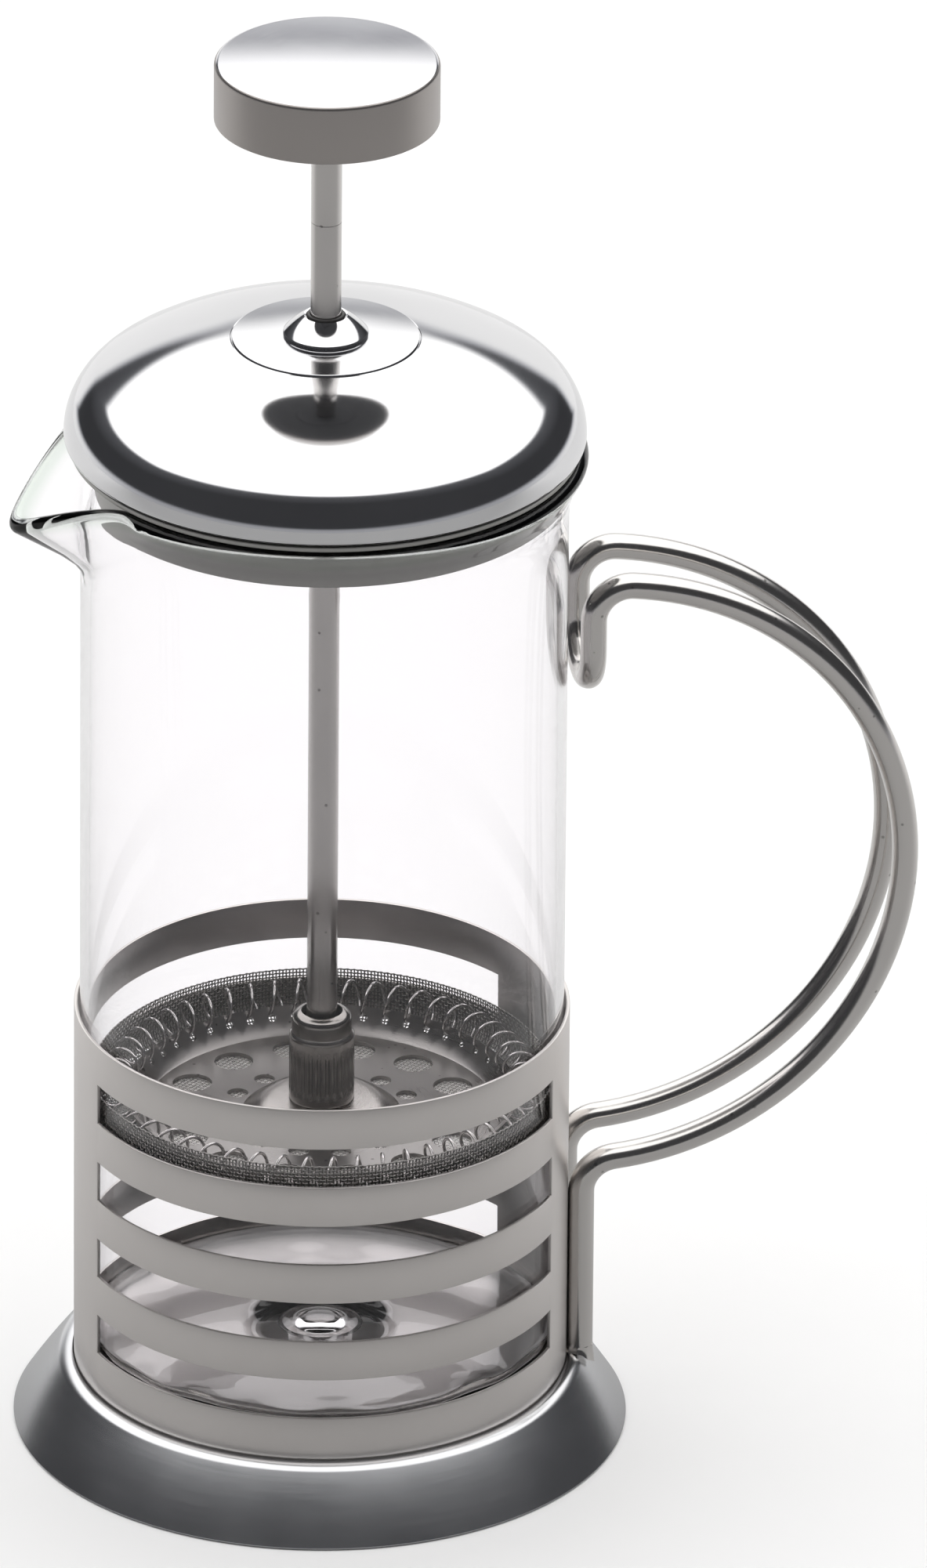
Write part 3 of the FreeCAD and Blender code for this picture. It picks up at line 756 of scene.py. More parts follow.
@dataclass
class Stand:
    """The welded frame: spun base, floors, slotted sleeve and wire handle."""

    wardrobe: Wardrobe
    sheet: float = 0.8 * MM
    sleeve_sheet: float = 0.55 * MM
    neck_gap: float = 0.05 * MM
    neck_flat: float = 0.45 * MM
    shoulder: float = 2.3 * MM
    shoulder_end: float = 37.0
    skirt_bulge: float = 0.15 * MM
    foot_flange: float = 4.0 * MM
    lowest_band: float = 10.7 * MM
    band: float = 6.2 * MM
    slot_rows: int = 4
    handle_strip: float = 31.6
    spout_strip: float = 15.5
    window_corner: float = 0.25 * MM
    wire_radius: float = 1.9 * MM
    run_spacing: float = 13.5 * MM
    bow_radius: float = 45.95 * MM
    bow_height: float = 86.95 * MM
    bow_offset: float = 1.15 * MM
    bend_radius: float = 5.2 * MM
    hook_stand_off: float = 1.2 * MM
    hook_length: float = 4.4 * MM
    weld_throat: float = 0.35 * MM
    weld_skin: float = 0.02 * MM
    weld_height: float = 0.9 * MM
    weld_ledge: float = 2.1 * MM
    body: str = "stand"

    def base(self) -> bpy.types.Object:
        """Build the spun base skirt with its neck line, round shoulder and rolled foot edge."""
        room = extent("base_skirt")
        bore = extent("slotted_sleeve").radius + self.neck_gap
        turn = (bore + self.neck_flat, room.top - self.shoulder)
        shoulder = arc(turn, self.shoulder, 90, self.shoulder_end, 14)
        foot = (room.radius, self.sheet / 2)
        skirt = bowed(foot, shoulder[-1], -self.skirt_bulge, 28)
        inner = [(r - self.sheet * 1.1, max(z - self.sheet * 0.6, self.sheet)) for r, z in reversed(skirt)]
        foot_edge = arc((room.radius - self.sheet / 2, self.sheet / 2), self.sheet / 2, -90, 0, 6)
        outline = [(room.radius - self.foot_flange, 0.0)] + foot_edge + skirt[1:] + shoulder[-2::-1]
        outline += [(bore + 0.15 * MM, room.top - 0.04 * MM), (bore, room.top - 0.3 * MM)]
        outline += [(bore, room.top - 1.3 * MM)] + inner
        outline += [(room.radius - self.foot_flange, self.sheet)]
        return lathe("spun_base", outline, 256)

    def bottom(self) -> bpy.types.Object:
        """Build the disc that closes the underside, with a pressed step."""
        room = extent("bottom_plate")
        step = room.top - room.bottom - self.sheet
        outer = room.radius
        step_radius = 31.6 * MM
        slope = 2.0 * MM
        corners = [
            (0.0, room.bottom + step, 0.0),
            (step_radius - slope, room.bottom + step, 0.8 * MM),
            (step_radius, room.bottom, 0.8 * MM),
            (outer, room.bottom, 0.2 * MM),
            (outer, room.bottom + self.sheet, 0.2 * MM),
            (step_radius, room.bottom + self.sheet, 0.8 * MM),
            (step_radius - slope, room.top, 0.8 * MM),
            (0.0, room.top, 0.0),
        ]
        return lathe("bottom_disc", rounded(corners), 192, closed=False)

    def floor(self) -> bpy.types.Object:
        """Build the holder floor with its turned-down rim."""
        room = extent("floor_plate")
        inner = room.radius - self.sheet
        corners = [
            (0.0, room.top - self.sheet, 0.0),
            (inner, room.top - self.sheet, 0.5 * MM),
            (inner, room.bottom, 0.1 * MM),
            (room.radius, room.bottom, 0.1 * MM),
            (room.radius, room.top, 0.9 * MM),
            (0.0, room.top, 0.0),
        ]
        return lathe("holder_floor", rounded(corners), 192, closed=False)

    def sleeve(self) -> bpy.types.Object:
        """Build the slotted sleeve as a sheet of cells with its windows left out."""
        room = extent("slotted_sleeve")
        middle = room.radius - self.sleeve_sheet / 2
        heights = [room.bottom]
        for row in range(self.slot_rows):
            low = self.lowest_band + self.band + row * 2 * self.band
            heights += [low, low + self.band]
        heights.append(room.top)
        stops = [
            (-self.handle_strip, self.handle_strip, 21, True),
            (self.handle_strip, 180 - self.spout_strip, 88, False),
            (180 - self.spout_strip, 180 + self.spout_strip, 11, True),
            (180 + self.spout_strip, 360 - self.handle_strip, 88, False),
        ]
        angles: list[tuple[float, bool]] = []
        for start, end, count, solid in stops:
            for step in range(count):
                angles.append((math.radians(start + (end - start) * step / count), solid))
        vertices = []
        for turn, _ in angles:
            for height in heights:
                vertices.append((middle * math.cos(turn), middle * math.sin(turn), height))
        rows = len(heights)
        faces = []
        for column, (_, solid) in enumerate(angles):
            ahead = (column + 1) % len(angles)
            for row in range(rows - 1):
                if solid or row % 2 == 0:
                    corner = column * rows + row
                    beside = ahead * rows + row
                    faces.append((corner, beside, beside + 1, corner + 1))
        mesh = bpy.data.meshes.new("slotted_band_sleeve")
        mesh.from_pydata(vertices, [], faces)
        piece = add_object("slotted_band_sleeve", mesh)
        wall = piece.modifiers.new("wall", "SOLIDIFY")
        wall.thickness = self.sleeve_sheet
        wall.offset = 0.0
        edge = piece.modifiers.new("edge", "BEVEL")
        edge.width = 0.12 * MM
        edge.segments = 2
        edge.limit_method = "ANGLE"
        edge.angle_limit = math.radians(60)
        return baked(piece)

    def wire_path(self) -> list[Vector]:
        """Work out the handle wire's line, from one foot over the hook to the other foot.

        Returns:
            Points along the wire's centre, close together in the bends.
        """
        side = self.run_spacing / 2
        foot = extent("handle_wire").bottom
        leg = math.sqrt((extent("slotted_sleeve").radius + self.wire_radius) ** 2 - side * side)
        hook = Beaker.radius + self.hook_stand_off + self.wire_radius
        bow = leg + self.bow_offset
        low_span = self.bow_radius + self.bend_radius
        low_tilt = math.asin((leg + self.bend_radius - bow) / low_span)
        low = (leg + self.bend_radius, self.bow_height - low_span * math.cos(low_tilt))
        high_span = self.bow_radius - self.bend_radius
        high_tilt = math.asin((hook + self.bend_radius - bow) / high_span)
        high = (hook + self.bend_radius, self.bow_height + high_span * math.cos(high_tilt))
        low_turn, high_turn = math.degrees(low_tilt), math.degrees(high_tilt)
        flat = [(leg, foot + (low[1] - foot) * step / 6) for step in range(6)]
        flat += arc(low, self.bend_radius, 180, 90 + low_turn, 14)
        flat += arc((bow, self.bow_height), self.bow_radius, -90 + low_turn, 90 - high_turn, 72)[1:]
        flat += arc(high, self.bend_radius, 90 - high_turn, 180, 14)[1:]
        flat += [(hook, high[1] - self.hook_length * step / 3) for step in (1, 2)]
        near = [Vector((x, -side, z)) for x, z in flat]
        far = [Vector((x, side, z)) for x, z in reversed(flat)]
        low_end = high[1] - self.hook_length
        turn = [Vector((hook, y, z)) for y, z in arc((0.0, low_end), side, 180, 360, 20)]
        return near + turn + far

    def handle(self) -> bpy.types.Object:
        """Build the handle by sweeping the wire along its path with Geometry Nodes."""
        points = self.wire_path()
        guide = bpy.data.meshes.new("handle_path")
        guide.from_pydata(points, [(n, n + 1) for n in range(len(points) - 1)], [])
        inputs = {"Radius": float, "Sides": int, "Material": bpy.types.Material}
        sketch, given = geometry_tree("sweep_wire", inputs)
        path = sketch.put("GeometryNodeMeshToCurve", {0: given.outputs["Geometry"]})
        place = sketch.put("GeometryNodeSplineParameter")
        marked = sketch.put(
            "GeometryNodeStoreNamedAttribute",
            {"Geometry": path.outputs[0], "Name": "along", "Value": place.outputs["Length"]},
            data_type="FLOAT",
            domain="POINT",
        )
        ring = sketch.put(
            "GeometryNodeCurvePrimitiveCircle",
            {"Resolution": given.outputs["Sides"], "Radius": given.outputs["Radius"]},
            mode="RADIUS",
        )
        spot = sketch.put("GeometryNodeInputPosition")
        unit = sketch.put("ShaderNodeVectorMath", {0: spot.outputs[0]}, operation="NORMALIZE")
        section = sketch.put(
            "GeometryNodeStoreNamedAttribute",
            {"Geometry": ring.outputs[0], "Name": "around", "Value": unit.outputs[0]},
            data_type="FLOAT_VECTOR",
            domain="POINT",
        )
        swept = sketch.put(
            "GeometryNodeCurveToMesh",
            {"Curve": marked.outputs[0], "Profile Curve": section.outputs[0], "Fill Caps": True},
        )
        tree = end_tree(sketch, swept.outputs[0], given.outputs["Material"])
        values = {"Radius": self.wire_radius, "Sides": 32, "Material": self.wardrobe.material(Finish.WIRE)}
        piece = grown("wire_handle", tree, values, guide)
        face_outwards(piece.data)
        smooth_by_angle(piece.data, 50)
        return piece

    def weld_beads(self) -> bpy.types.Object:
        """Build the small weld beads where the handle's feet meet the base."""
        side = self.run_spacing / 2
        foot = extent("handle_wire").bottom
        leg = math.sqrt((extent("slotted_sleeve").radius + self.wire_radius) ** 2 - side * side)
        around, rings = 40, 5
        vertices: list[tuple[float, float, float]] = []
        faces = []
        for sign in (-1, 1):
            start = len(vertices)
            for ring in range(rings + 1):
                rise = ring / rings
                radius = self.wire_radius + self.weld_throat * (1 - rise) ** 2 + self.weld_skin
                for step in range(around):
                    turn = 2 * math.pi * step / around
                    ripple = 1 + 0.03 * math.sin(9 * turn)
                    x = leg + radius * ripple * math.cos(turn)
                    y = sign * side + radius * ripple * math.sin(turn)
                    drop = max(math.hypot(x, y) - extent("slotted_sleeve").radius - self.weld_ledge, 0.0)
                    vertices.append((x, y, foot - drop * 0.9 * (1 - rise) + self.weld_height * rise))
            for ring in range(rings):
                for step in range(around):
                    ahead = (step + 1) % around
                    low, high = start + ring * around, start + (ring + 1) * around
                    faces.append((low + step, low + ahead, high + ahead, high + step))
            faces.append(tuple(range(start + around - 1, start - 1, -1)))
            faces.append(tuple(range(start + rings * around, start + (rings + 1) * around)))
        mesh = bpy.data.meshes.new("handle_weld_beads")
        mesh.from_pydata(vertices, [], faces)
        face_outwards(mesh)
        smooth_by_angle(mesh, 60)
        return add_object("handle_weld_beads", mesh)

    def build(self) -> None:
        """Build and dress every piece of the frame."""
        dress = self.wardrobe.dress
        dress(self.base(), Finish.BASE, self.body, "polished_steel", "base_skirt")
        dress(self.bottom(), Finish.SATIN, self.body, "satin_steel", "bottom_plate")
        dress(self.floor(), Finish.SATIN, self.body, "satin_steel", "floor_plate")
        dress(self.sleeve(), Finish.SATIN, self.body, "satin_steel", "slotted_sleeve")
        dress(self.handle(), Finish.WIRE, self.body, "wire_steel", "handle_wire")
        dress(self.weld_beads(), Finish.WIRE, self.body, "wire_steel")


# ---- Beaker ----


@dataclass
class Beaker:
    """The blown glass beaker with its flared rim and pressed spout."""

    wardrobe: Wardrobe
    radius: float = 35.0 * MM
    wall: float = 1.6 * MM
    floor: float = 2.0 * MM
    corner: float = 4.0 * MM
    nub_radius: float = 3.9 * MM
    nub_height: float = 0.9 * MM
    moat: float = 0.25 * MM
    ripple: float = 0.10 * MM
    flare_drop: float = 6.4 * MM
    bead: float = 1.35 * MM
    spout_bead: float = 1.3 * MM
    spout_root_drop: float = 16.5 * MM
    spout_tip_drop: float = 7.9 * MM
    spout_half_angle: float = 31.0
    tip_roundness: float = 0.09
    spout_taper: float = 1.77
    spout_dip: float = 1.68
    blend: float = 2.2 * MM
    around: int = 360
    body: str = "beaker"

    def share(self, turn: float) -> float:
        """Return 0 at the middle of the spout, 1 at its sides and beyond."""
        away = abs(math.remainder(turn - math.pi, 2 * math.pi)) / math.radians(self.spout_half_angle)
        if away >= 1:
            return 1.0
        soft = self.tip_roundness
        return (math.hypot(away, soft) - soft) / (math.hypot(1, soft) - soft)

    def section(self, turn: float) -> list[tuple[float, float, float]]:
        """Work out the glass's half section at an angle.

        Args:
            turn: Angle round the axis.

        Returns:
            Radius, height and greenness of each point, from the outer bottom over the rim to the floor.
        """
        room = extent("glass_beaker")
        share = self.share(turn)
        tip = (1 - share) ** self.spout_taper
        bead = self.bead + (self.spout_bead - self.bead) * tip
        rim = (room.radius - self.bead, room.top - self.bead)
        reach = -room.low.x - self.spout_bead - rim[0]
        bead_at = (rim[0] + reach * tip, rim[1] - self.spout_tip_drop * (1 - share) ** self.spout_dip)
        flare = room.top - self.flare_drop
        leave = flare + (room.top - self.spout_root_drop - flare) * (1 - share)
        start = (self.radius, leave)
        run = (bead_at[0] + bead * 0.7 - start[0], bead_at[1] - bead * 0.7 - start[1])
        length = math.hypot(*run)
        along = (run[0] / length, run[1] / length)
        inward = (-along[1], along[0])
        lean = math.degrees(math.atan2(inward[1], inward[0]))
        soft = self.blend
        outer = [
            (self.radius, leave - soft * 2),
            (self.radius, leave - soft),
            (self.radius + along[0] * soft * 0.25, leave - soft * 0.3),
            (self.radius + along[0] * soft * 0.75, leave + along[1] * soft * 0.45),
        ]
        touch = (bead_at[0] - inward[0] * bead, bead_at[1] - inward[1] * bead)
        for step in (0.35, 0.6, 0.8):
            outer.append((start[0] + (touch[0] - start[0]) * step, start[1] + (touch[1] - start[1]) * step))
        cap = arc(bead_at, bead, lean + 180, lean + 360, 12)
        inner_radius = self.radius - self.wall
        meet = math.tan((math.pi / 2 - math.atan2(along[1], along[0])) / 2) * self.wall
        inner_leave = leave + meet
        back = (bead_at[0] + inward[0] * bead, bead_at[1] + inward[1] * bead)
        inner = []
        for step in (0.2, 0.4, 0.65):
            r = back[0] + (inner_radius - back[0]) * step
            inner.append((r, back[1] + (inner_leave - back[1]) * step))
        inner += [
            (inner_radius + along[0] * soft * 0.75, inner_leave + along[1] * soft * 0.45),
            (inner_radius + along[0] * soft * 0.25, inner_leave - soft * 0.3),
            (inner_radius, inner_leave - soft),
            (inner_radius, inner_leave - soft * 2),
        ]
        bottom = room.bottom
        low_corner = arc((self.radius - self.corner, bottom + self.corner), self.corner, -90, 0, 8)
        tight = self.corner - self.wall
        top = bottom + self.floor
        wave = math.sin(5 * turn) + 0.6 * math.sin(11 * turn + 1) + 0.5 * math.sin(19 * turn + 2)
        ripple = self.ripple * wave
        wall_foot = [(inner_radius, top + tight + 2 * MM), (inner_radius, top + tight)]
        bend = arc((inner_radius - tight, top + tight), tight, 0, -90, 8)[1:]
        inner_corner = wall_foot + [(r - ripple, z + ripple) for r, z in bend]
        ring = [(24 * MM, top - 0.05 * MM), (19 * MM, top + 0.1 * MM), (12 * MM, top + 0.02 * MM)]
        nub = rounded(
            [
                (self.nub_radius + 3 * MM, top - self.moat, 2.0 * MM),
                (self.nub_radius, top, 0.9 * MM),
                (self.nub_radius - 1.2 * MM, top + self.nub_height, 0.9 * MM),
                (0.0, top + self.nub_height, 0.0),
            ]
        )
        punt = [(0.0, bottom + 0.5 * MM), (12 * MM, bottom + 0.35 * MM), (24 * MM, bottom + 0.05 * MM)]
        points = [(r, z, 0.0) for r, z in punt]
        points += [(r, z, 0.0) for r, z in low_corner]
        points += [(r, z, 0.0) for r, z in outer]
        points += [(r, z, 1.0) for r, z in cap]
        points += [(r, z, 0.0) for r, z in inner]
        points += [(r, z, 0.0) for r, z in inner_corner + ring]
        points += [(r, z, 0.0) for r, z in nub]
        return points

    def glass(self) -> bpy.types.Object:
        """Build the beaker as one skin of half sections and mark its worked edge."""
        sections = [self.section(2 * math.pi * row / self.around) for row in range(self.around)]
        outlines = [[(r, z) for r, z, _ in section] for section in sections]
        piece = sections_mesh("glass_beaker_shell", outlines, closed=False)
        piece.data.set_sharp_from_angle(angle=math.pi)
        greenness = [mark for _, _, mark in sections[0]]
        edge = piece.data.attributes.new("edge", "FLOAT", "POINT")
        values = []
        for column, mark in enumerate(greenness):
            on_axis = sections[0][column][0] < 1e-9
            values += [mark] * (1 if on_axis else self.around)
        edge.data.foreach_set("value", values)
        return piece

    def build(self) -> None:
        """Build and dress the beaker."""
        self.wardrobe.dress(self.glass(), Finish.GLASS, self.body, "clear_glass", "glass_beaker")


# ---- Lid ----


@dataclass
class Lid:
    """The lid: pan, polished dome, ferrule, nut and bush."""

    wardrobe: Wardrobe
    sheet: float = 0.8 * MM
    shoulder: float = 9.8 * MM
    shoulder_angle: float = 59.0
    crown: float = 1.2 * MM
    boss_radius: float = 13.7 * MM
    boss_step: float = 0.48 * MM
    boss_crown: float = 0.18 * MM
    groove: float = 0.36 * MM
    widest_rise: float = 0.9 * MM
    liner_hole: float = 3.4 * MM
    liner_clearance: float = 0.4 * MM
    spigot: float = 4.0 * MM
    ferrule_bore: float = 2.75 * MM
    ferrule_side: float = 0.7 * MM
    ferrule_bulge: float = 0.12 * MM
    thread_turns: int = 5
    thread_depth: float = 0.3 * MM

    def dome(self) -> bpy.types.Object:
        """Build the dome: rolled edge, round shoulder, shallow crown and flat boss."""
        room = extent("lid_dome")
        widest = room.bottom + self.widest_rise
        centre = (room.radius - self.shoulder, widest)
        boss = (self.boss_radius, room.top - self.boss_step)
        curl = arc((room.radius - self.widest_rise, widest), self.widest_rise, -75, 0, 8)
        shoulder = arc(centre, self.shoulder, 0, self.shoulder_angle, 28)
        crown = bowed(shoulder[-1], boss, -self.crown, 36)
        edge = (self.boss_radius - self.groove, room.top - self.boss_crown)
        groove = [
            (self.boss_radius - 0.25 * self.groove, boss[1] - 0.05 * MM),
            (self.boss_radius - 0.50 * self.groove, boss[1]),
            (self.boss_radius - 0.85 * self.groove, edge[1] - 0.04 * MM),
        ]
        top = bowed(edge, (self.spigot, room.top), -self.boss_crown / 4, 10)
        outside = curl + shoulder[1:] + crown[1:] + groove + top
        under = [(self.spigot, room.top - self.sheet), (self.boss_radius - 1.0 * MM, room.top - self.sheet)]
        inner_shoulder = arc(centre, self.shoulder - self.sheet, self.shoulder_angle, 0, 20)
        inner_boss = (self.boss_radius - 0.3 * MM, boss[1] - self.sheet)
        inner_crown = bowed(inner_boss, inner_shoulder[0], self.crown, 20)
        outline = outside + under + inner_crown + inner_shoulder[1:]
        return lathe("polished_dome", outline, 320)

    def pan(self) -> bpy.types.Object:
        """Build the liner pan: flange, skirt, floor and guide collar."""
        room = extent("lid_liner")
        glass = extent("glass_beaker")
        outer = Beaker.radius - Beaker.wall - self.liner_clearance
        inner = outer - self.sheet
        seat = glass.top + 0.1 * MM
        top = seat + self.sheet
        corners = [
            (self.liner_hole, room.bottom, 0.15 * MM),
            (outer, room.bottom, 0.35 * MM),
            (outer, seat, 0.2 * MM),
            (room.radius, seat, 0.2 * MM),
            (room.radius, top, 0.2 * MM),
            (outer, top, 0.2 * MM),
            (outer, room.top, 0.2 * MM),
            (inner, room.top, 0.2 * MM),
            (inner, room.bottom + self.sheet, 0.6 * MM),
            (self.liner_hole, room.bottom + self.sheet, 0.15 * MM),
        ]
        return lathe("liner_pan", rounded(corners), 256)

    def ferrule(self) -> bpy.types.Object:
        """Build the ferrule: domed collar with a low upright side, rolled mouth and threaded spigot."""
        room = extent("lid_ferrule")
        base = extent("lid_dome").top
        bore = self.ferrule_bore
        low = room.bottom
        pitch = (base - self.sheet - low) / self.thread_turns
        outline = [(bore, low)]
        for index in range(self.thread_turns):
            outline.append((self.spigot - self.thread_depth, low + pitch * index))
            outline.append((self.spigot, low + pitch * (index + 0.5)))
        side = base + self.ferrule_side
        wide = room.radius
        outline += [(self.spigot, base - self.sheet), (self.spigot, base), (wide - 0.1 * MM, base)]
        outline += [(wide, base + 0.1 * MM), (wide, side - 0.12 * MM), (wide - 0.03 * MM, side)]
        brow, mouth = (wide - 0.1 * MM, side + 0.08 * MM), (bore + 0.4 * MM, room.top)
        outline += bowed(brow, mouth, -self.ferrule_bulge, 20)
        outline += [(bore + 0.1 * MM, room.top - 0.06 * MM), (bore, room.top - 0.3 * MM)]
        return lathe("ferrule", outline, 160)

    def nut(self) -> bpy.types.Object:
        """Build the hexagon nut with its corners turned off."""
        room = extent("guide_nut")
        size = room.high.x
        flat = size * math.cos(math.pi / 6)

        def hexagon(r: float, z: float, turn: float) -> tuple[float, float]:
            """Pull a round point in to the nut's flats."""
            if r < self.spigot + 1 * MM:
                return r, z
            return min(r, flat / math.cos(math.remainder(turn - math.pi / 6, math.pi / 3))), z

        turned_off = 0.5 * MM
        outline = [
            (self.spigot, room.bottom),
            (flat, room.bottom),
            (size, room.bottom + turned_off),
            (size, room.top - turned_off),
            (flat, room.top),
            (self.spigot, room.top),
        ]
        return lathe("hexagon_nut", outline, 180, reshape=hexagon)

    def bush(self) -> bpy.types.Object:
        """Build the nylon bush with its flange and a softly rounded top lip."""
        room = extent("rod_bush")
        bore, outer = 2.25 * MM, 2.7 * MM
        corners = [
            (bore, room.bottom, 0.1 * MM),
            (room.radius, room.bottom, 0.2 * MM),
            (room.radius, room.bottom + 1.0 * MM, 0.2 * MM),
            (outer, room.bottom + 1.0 * MM, 0.1 * MM),
            (outer, room.top, 0.18 * MM),
            (bore, room.top, 0.12 * MM),
        ]
        return lathe("guide_bush", rounded(corners), 96)

    def build(self) -> None:
        """Build and dress every piece of the lid."""
        dress = self.wardrobe.dress
        dress(self.pan(), Finish.LINER, "lid_liner", "liner_grey", "lid_liner")
        dress(self.dome(), Finish.POLISHED, "lid", "polished_steel", "lid_dome")
        dress(self.ferrule(), Finish.POLISHED, "lid", "polished_steel", "lid_ferrule")
        dress(self.nut(), Finish.SATIN, "lid", "satin_steel", "guide_nut")
        dress(self.bush(), Finish.NYLON, "bush", "bush_plastic", "rod_bush")


# ---- Plunger ----


def merged_copy(node: str, name: str) -> bpy.types.Object:
    """Copy a CAD node's mesh with its loose triangles joined and its edges kept sharp.

    Args:
        node: Name of the CAD node.
        name: Name of the copy.

    Returns:
        The copy.
    """
    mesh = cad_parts[node].data.copy()
    mesh.name = name
    work = bmesh.new()
    work.from_mesh(mesh)
    bmesh.ops.remove_doubles(work, verts=work.verts, dist=0.001 * MM)
    work.to_mesh(mesh)
    work.free()
    smooth_by_angle(mesh)
    return add_object(name, mesh)


def coil_tree() -> bpy.types.NodeTree:
    """Draw the tree of a garter spring: one wire wound round a ring, closed on itself."""
    inputs = {
        "Ring Radius": float,
        "Coil Radius": float,
        "Wire Radius": float,
        "Height": float,
        "Turns": int,
        "Points": int,
        "Material": bpy.types.Material,
    }
    sketch, given = geometry_tree("garter_spring", inputs)
    get = given.outputs
    ring = sketch.put(
        "GeometryNodeCurvePrimitiveCircle", {"Resolution": get["Points"], "Radius": 1.0}, mode="RADIUS"
    )
    index = sketch.put("GeometryNodeInputIndex").outputs[0]
    share = sketch.math("DIVIDE", index, get["Points"])
    angle = sketch.math("MULTIPLY", share, 2 * math.pi)
    wind = sketch.math("MULTIPLY", angle, get["Turns"])
    reach = sketch.math("MULTIPLY_ADD", sketch.math("COSINE", wind), get["Coil Radius"], get["Ring Radius"])
    rise = sketch.math("MULTIPLY_ADD", sketch.math("SINE", wind), get["Coil Radius"], get["Height"])
    x = sketch.math("MULTIPLY", reach, sketch.math("COSINE", angle))
    y = sketch.math("MULTIPLY", reach, sketch.math("SINE", angle))
    wound = sketch.put("GeometryNodeSetPosition", {0: ring.outputs[0], "Position": sketch.vector(x, y, rise)})
    wire = sketch.put(
        "GeometryNodeCurvePrimitiveCircle", {"Resolution": 8, "Radius": get["Wire Radius"]}, mode="RADIUS"
    )
    swept = sketch.put(
        "GeometryNodeCurveToMesh", {"Curve": wound.outputs[0], "Profile Curve": wire.outputs[0]}
    )
    return end_tree(sketch, swept.outputs[0], get["Material"])


def weave_tree() -> bpy.types.NodeTree:
    """Draw the tree of woven wire: each edge of the guide becomes wire that passes over and under."""
    inputs = {"Wire Radius": float, "Lift": float, "Material": bpy.types.Material}
    sketch, given = geometry_tree("woven_wire", inputs)
    get = given.outputs
    parity = sketch.put("GeometryNodeInputNamedAttribute", {"Name": "parity"}, data_type="FLOAT").outputs[0]
    warp = sketch.put("GeometryNodeInputNamedAttribute", {"Name": "warp"}, data_type="BOOLEAN").outputs[0]
    normal = sketch.put("GeometryNodeInputNormal").outputs[0]
    wire = sketch.put(
        "GeometryNodeCurvePrimitiveCircle", {"Resolution": 3, "Radius": get["Wire Radius"]}, mode="RADIUS"
    )
    families = []
    for sign in (1.0, -1.0):
        sway = sketch.math("MULTIPLY", sketch.math("MULTIPLY", parity, get["Lift"]), sign)
        offset = sketch.put("ShaderNodeVectorMath", {0: normal, "Scale": sway}, operation="SCALE").outputs[0]
        moved = sketch.put("GeometryNodeSetPosition", {0: get["Geometry"], "Offset": offset})
        kept = sketch.put("GeometryNodeSeparateGeometry", {0: moved.outputs[0], 1: warp}, domain="EDGE")
        path = sketch.put("GeometryNodeMeshToCurve", {0: kept.outputs[0 if sign > 0 else 1]})
        swept = sketch.put(
            "GeometryNodeCurveToMesh", {"Curve": path.outputs[0], "Profile Curve": wire.outputs[0]}
        )
        families.append(swept.outputs[0])
    both = sketch.put("GeometryNodeJoinGeometry", {0: families})
    return end_tree(sketch, both.outputs[0], get["Material"])


def perforated_tree() -> bpy.types.NodeTree:
    """Draw the tree of a flat disc with a bore and two rings of round holes."""
    inputs = {
        "Radius": float,
        "Bore": float,
        "Sheet": float,
        "Bottom": float,
        "Holes": int,
        "First Angle": float,
        "Large Hole": float,
        "Large Ring": float,
        "Small Hole": float,
        "Small Ring": float,
        "Material": bpy.types.Material,
    }
    sketch, given = geometry_tree("perforated_disc", inputs)
    get = given.outputs

    def circle(radius: object, points: int) -> bpy.types.NodeSocket:
        """Add a curve circle and return it."""
        return sketch.put(
            "GeometryNodeCurvePrimitiveCircle", {"Resolution": points, "Radius": radius}, mode="RADIUS"
        ).outputs[0]

    turn = sketch.vector(0.0, 0.0, get["First Angle"])
    curves = [circle(get["Radius"], 180), circle(get["Bore"], 48)]
    for hole, ring in (("Large Hole", "Large Ring"), ("Small Hole", "Small Ring")):
        spots = sketch.put("GeometryNodeMeshCircle", {"Vertices": get["Holes"], "Radius": get[ring]})
        turned = sketch.put("GeometryNodeTransform", {"Geometry": spots.outputs[0], "Rotation": turn})
        drilled = sketch.put(
            "GeometryNodeInstanceOnPoints", {"Points": turned.outputs[0], "Instance": circle(get[hole], 40)}
        )
        curves.append(sketch.put("GeometryNodeRealizeInstances", {0: drilled.outputs[0]}).outputs[0])
    joined = sketch.put("GeometryNodeJoinGeometry", {0: curves})
    filled = sketch.put("GeometryNodeFillCurve", {0: joined.outputs[0]})
    placed = sketch.put(
        "GeometryNodeTransform",
        {"Geometry": filled.outputs[0], "Translation": sketch.vector(0.0, 0.0, get["Bottom"])},
    )
    up = sketch.vector(0.0, 0.0, get["Sheet"])
    raised = sketch.put(
        "GeometryNodeExtrudeMesh",
        {"Mesh": placed.outputs[0], "Offset": up, "Offset Scale": 1.0, "Individual": False},
    )
    under = sketch.put("GeometryNodeFlipFaces", {0: placed.outputs[0]})
    closed = sketch.put("GeometryNodeJoinGeometry", {0: [raised.outputs[0], under.outputs[0]]})
    merged = sketch.put(
        "GeometryNodeMergeByDistance", {"Geometry": closed.outputs[0], "Distance": 0.002 * MM}
    )
    return end_tree(sketch, merged.outputs[0], get["Material"])


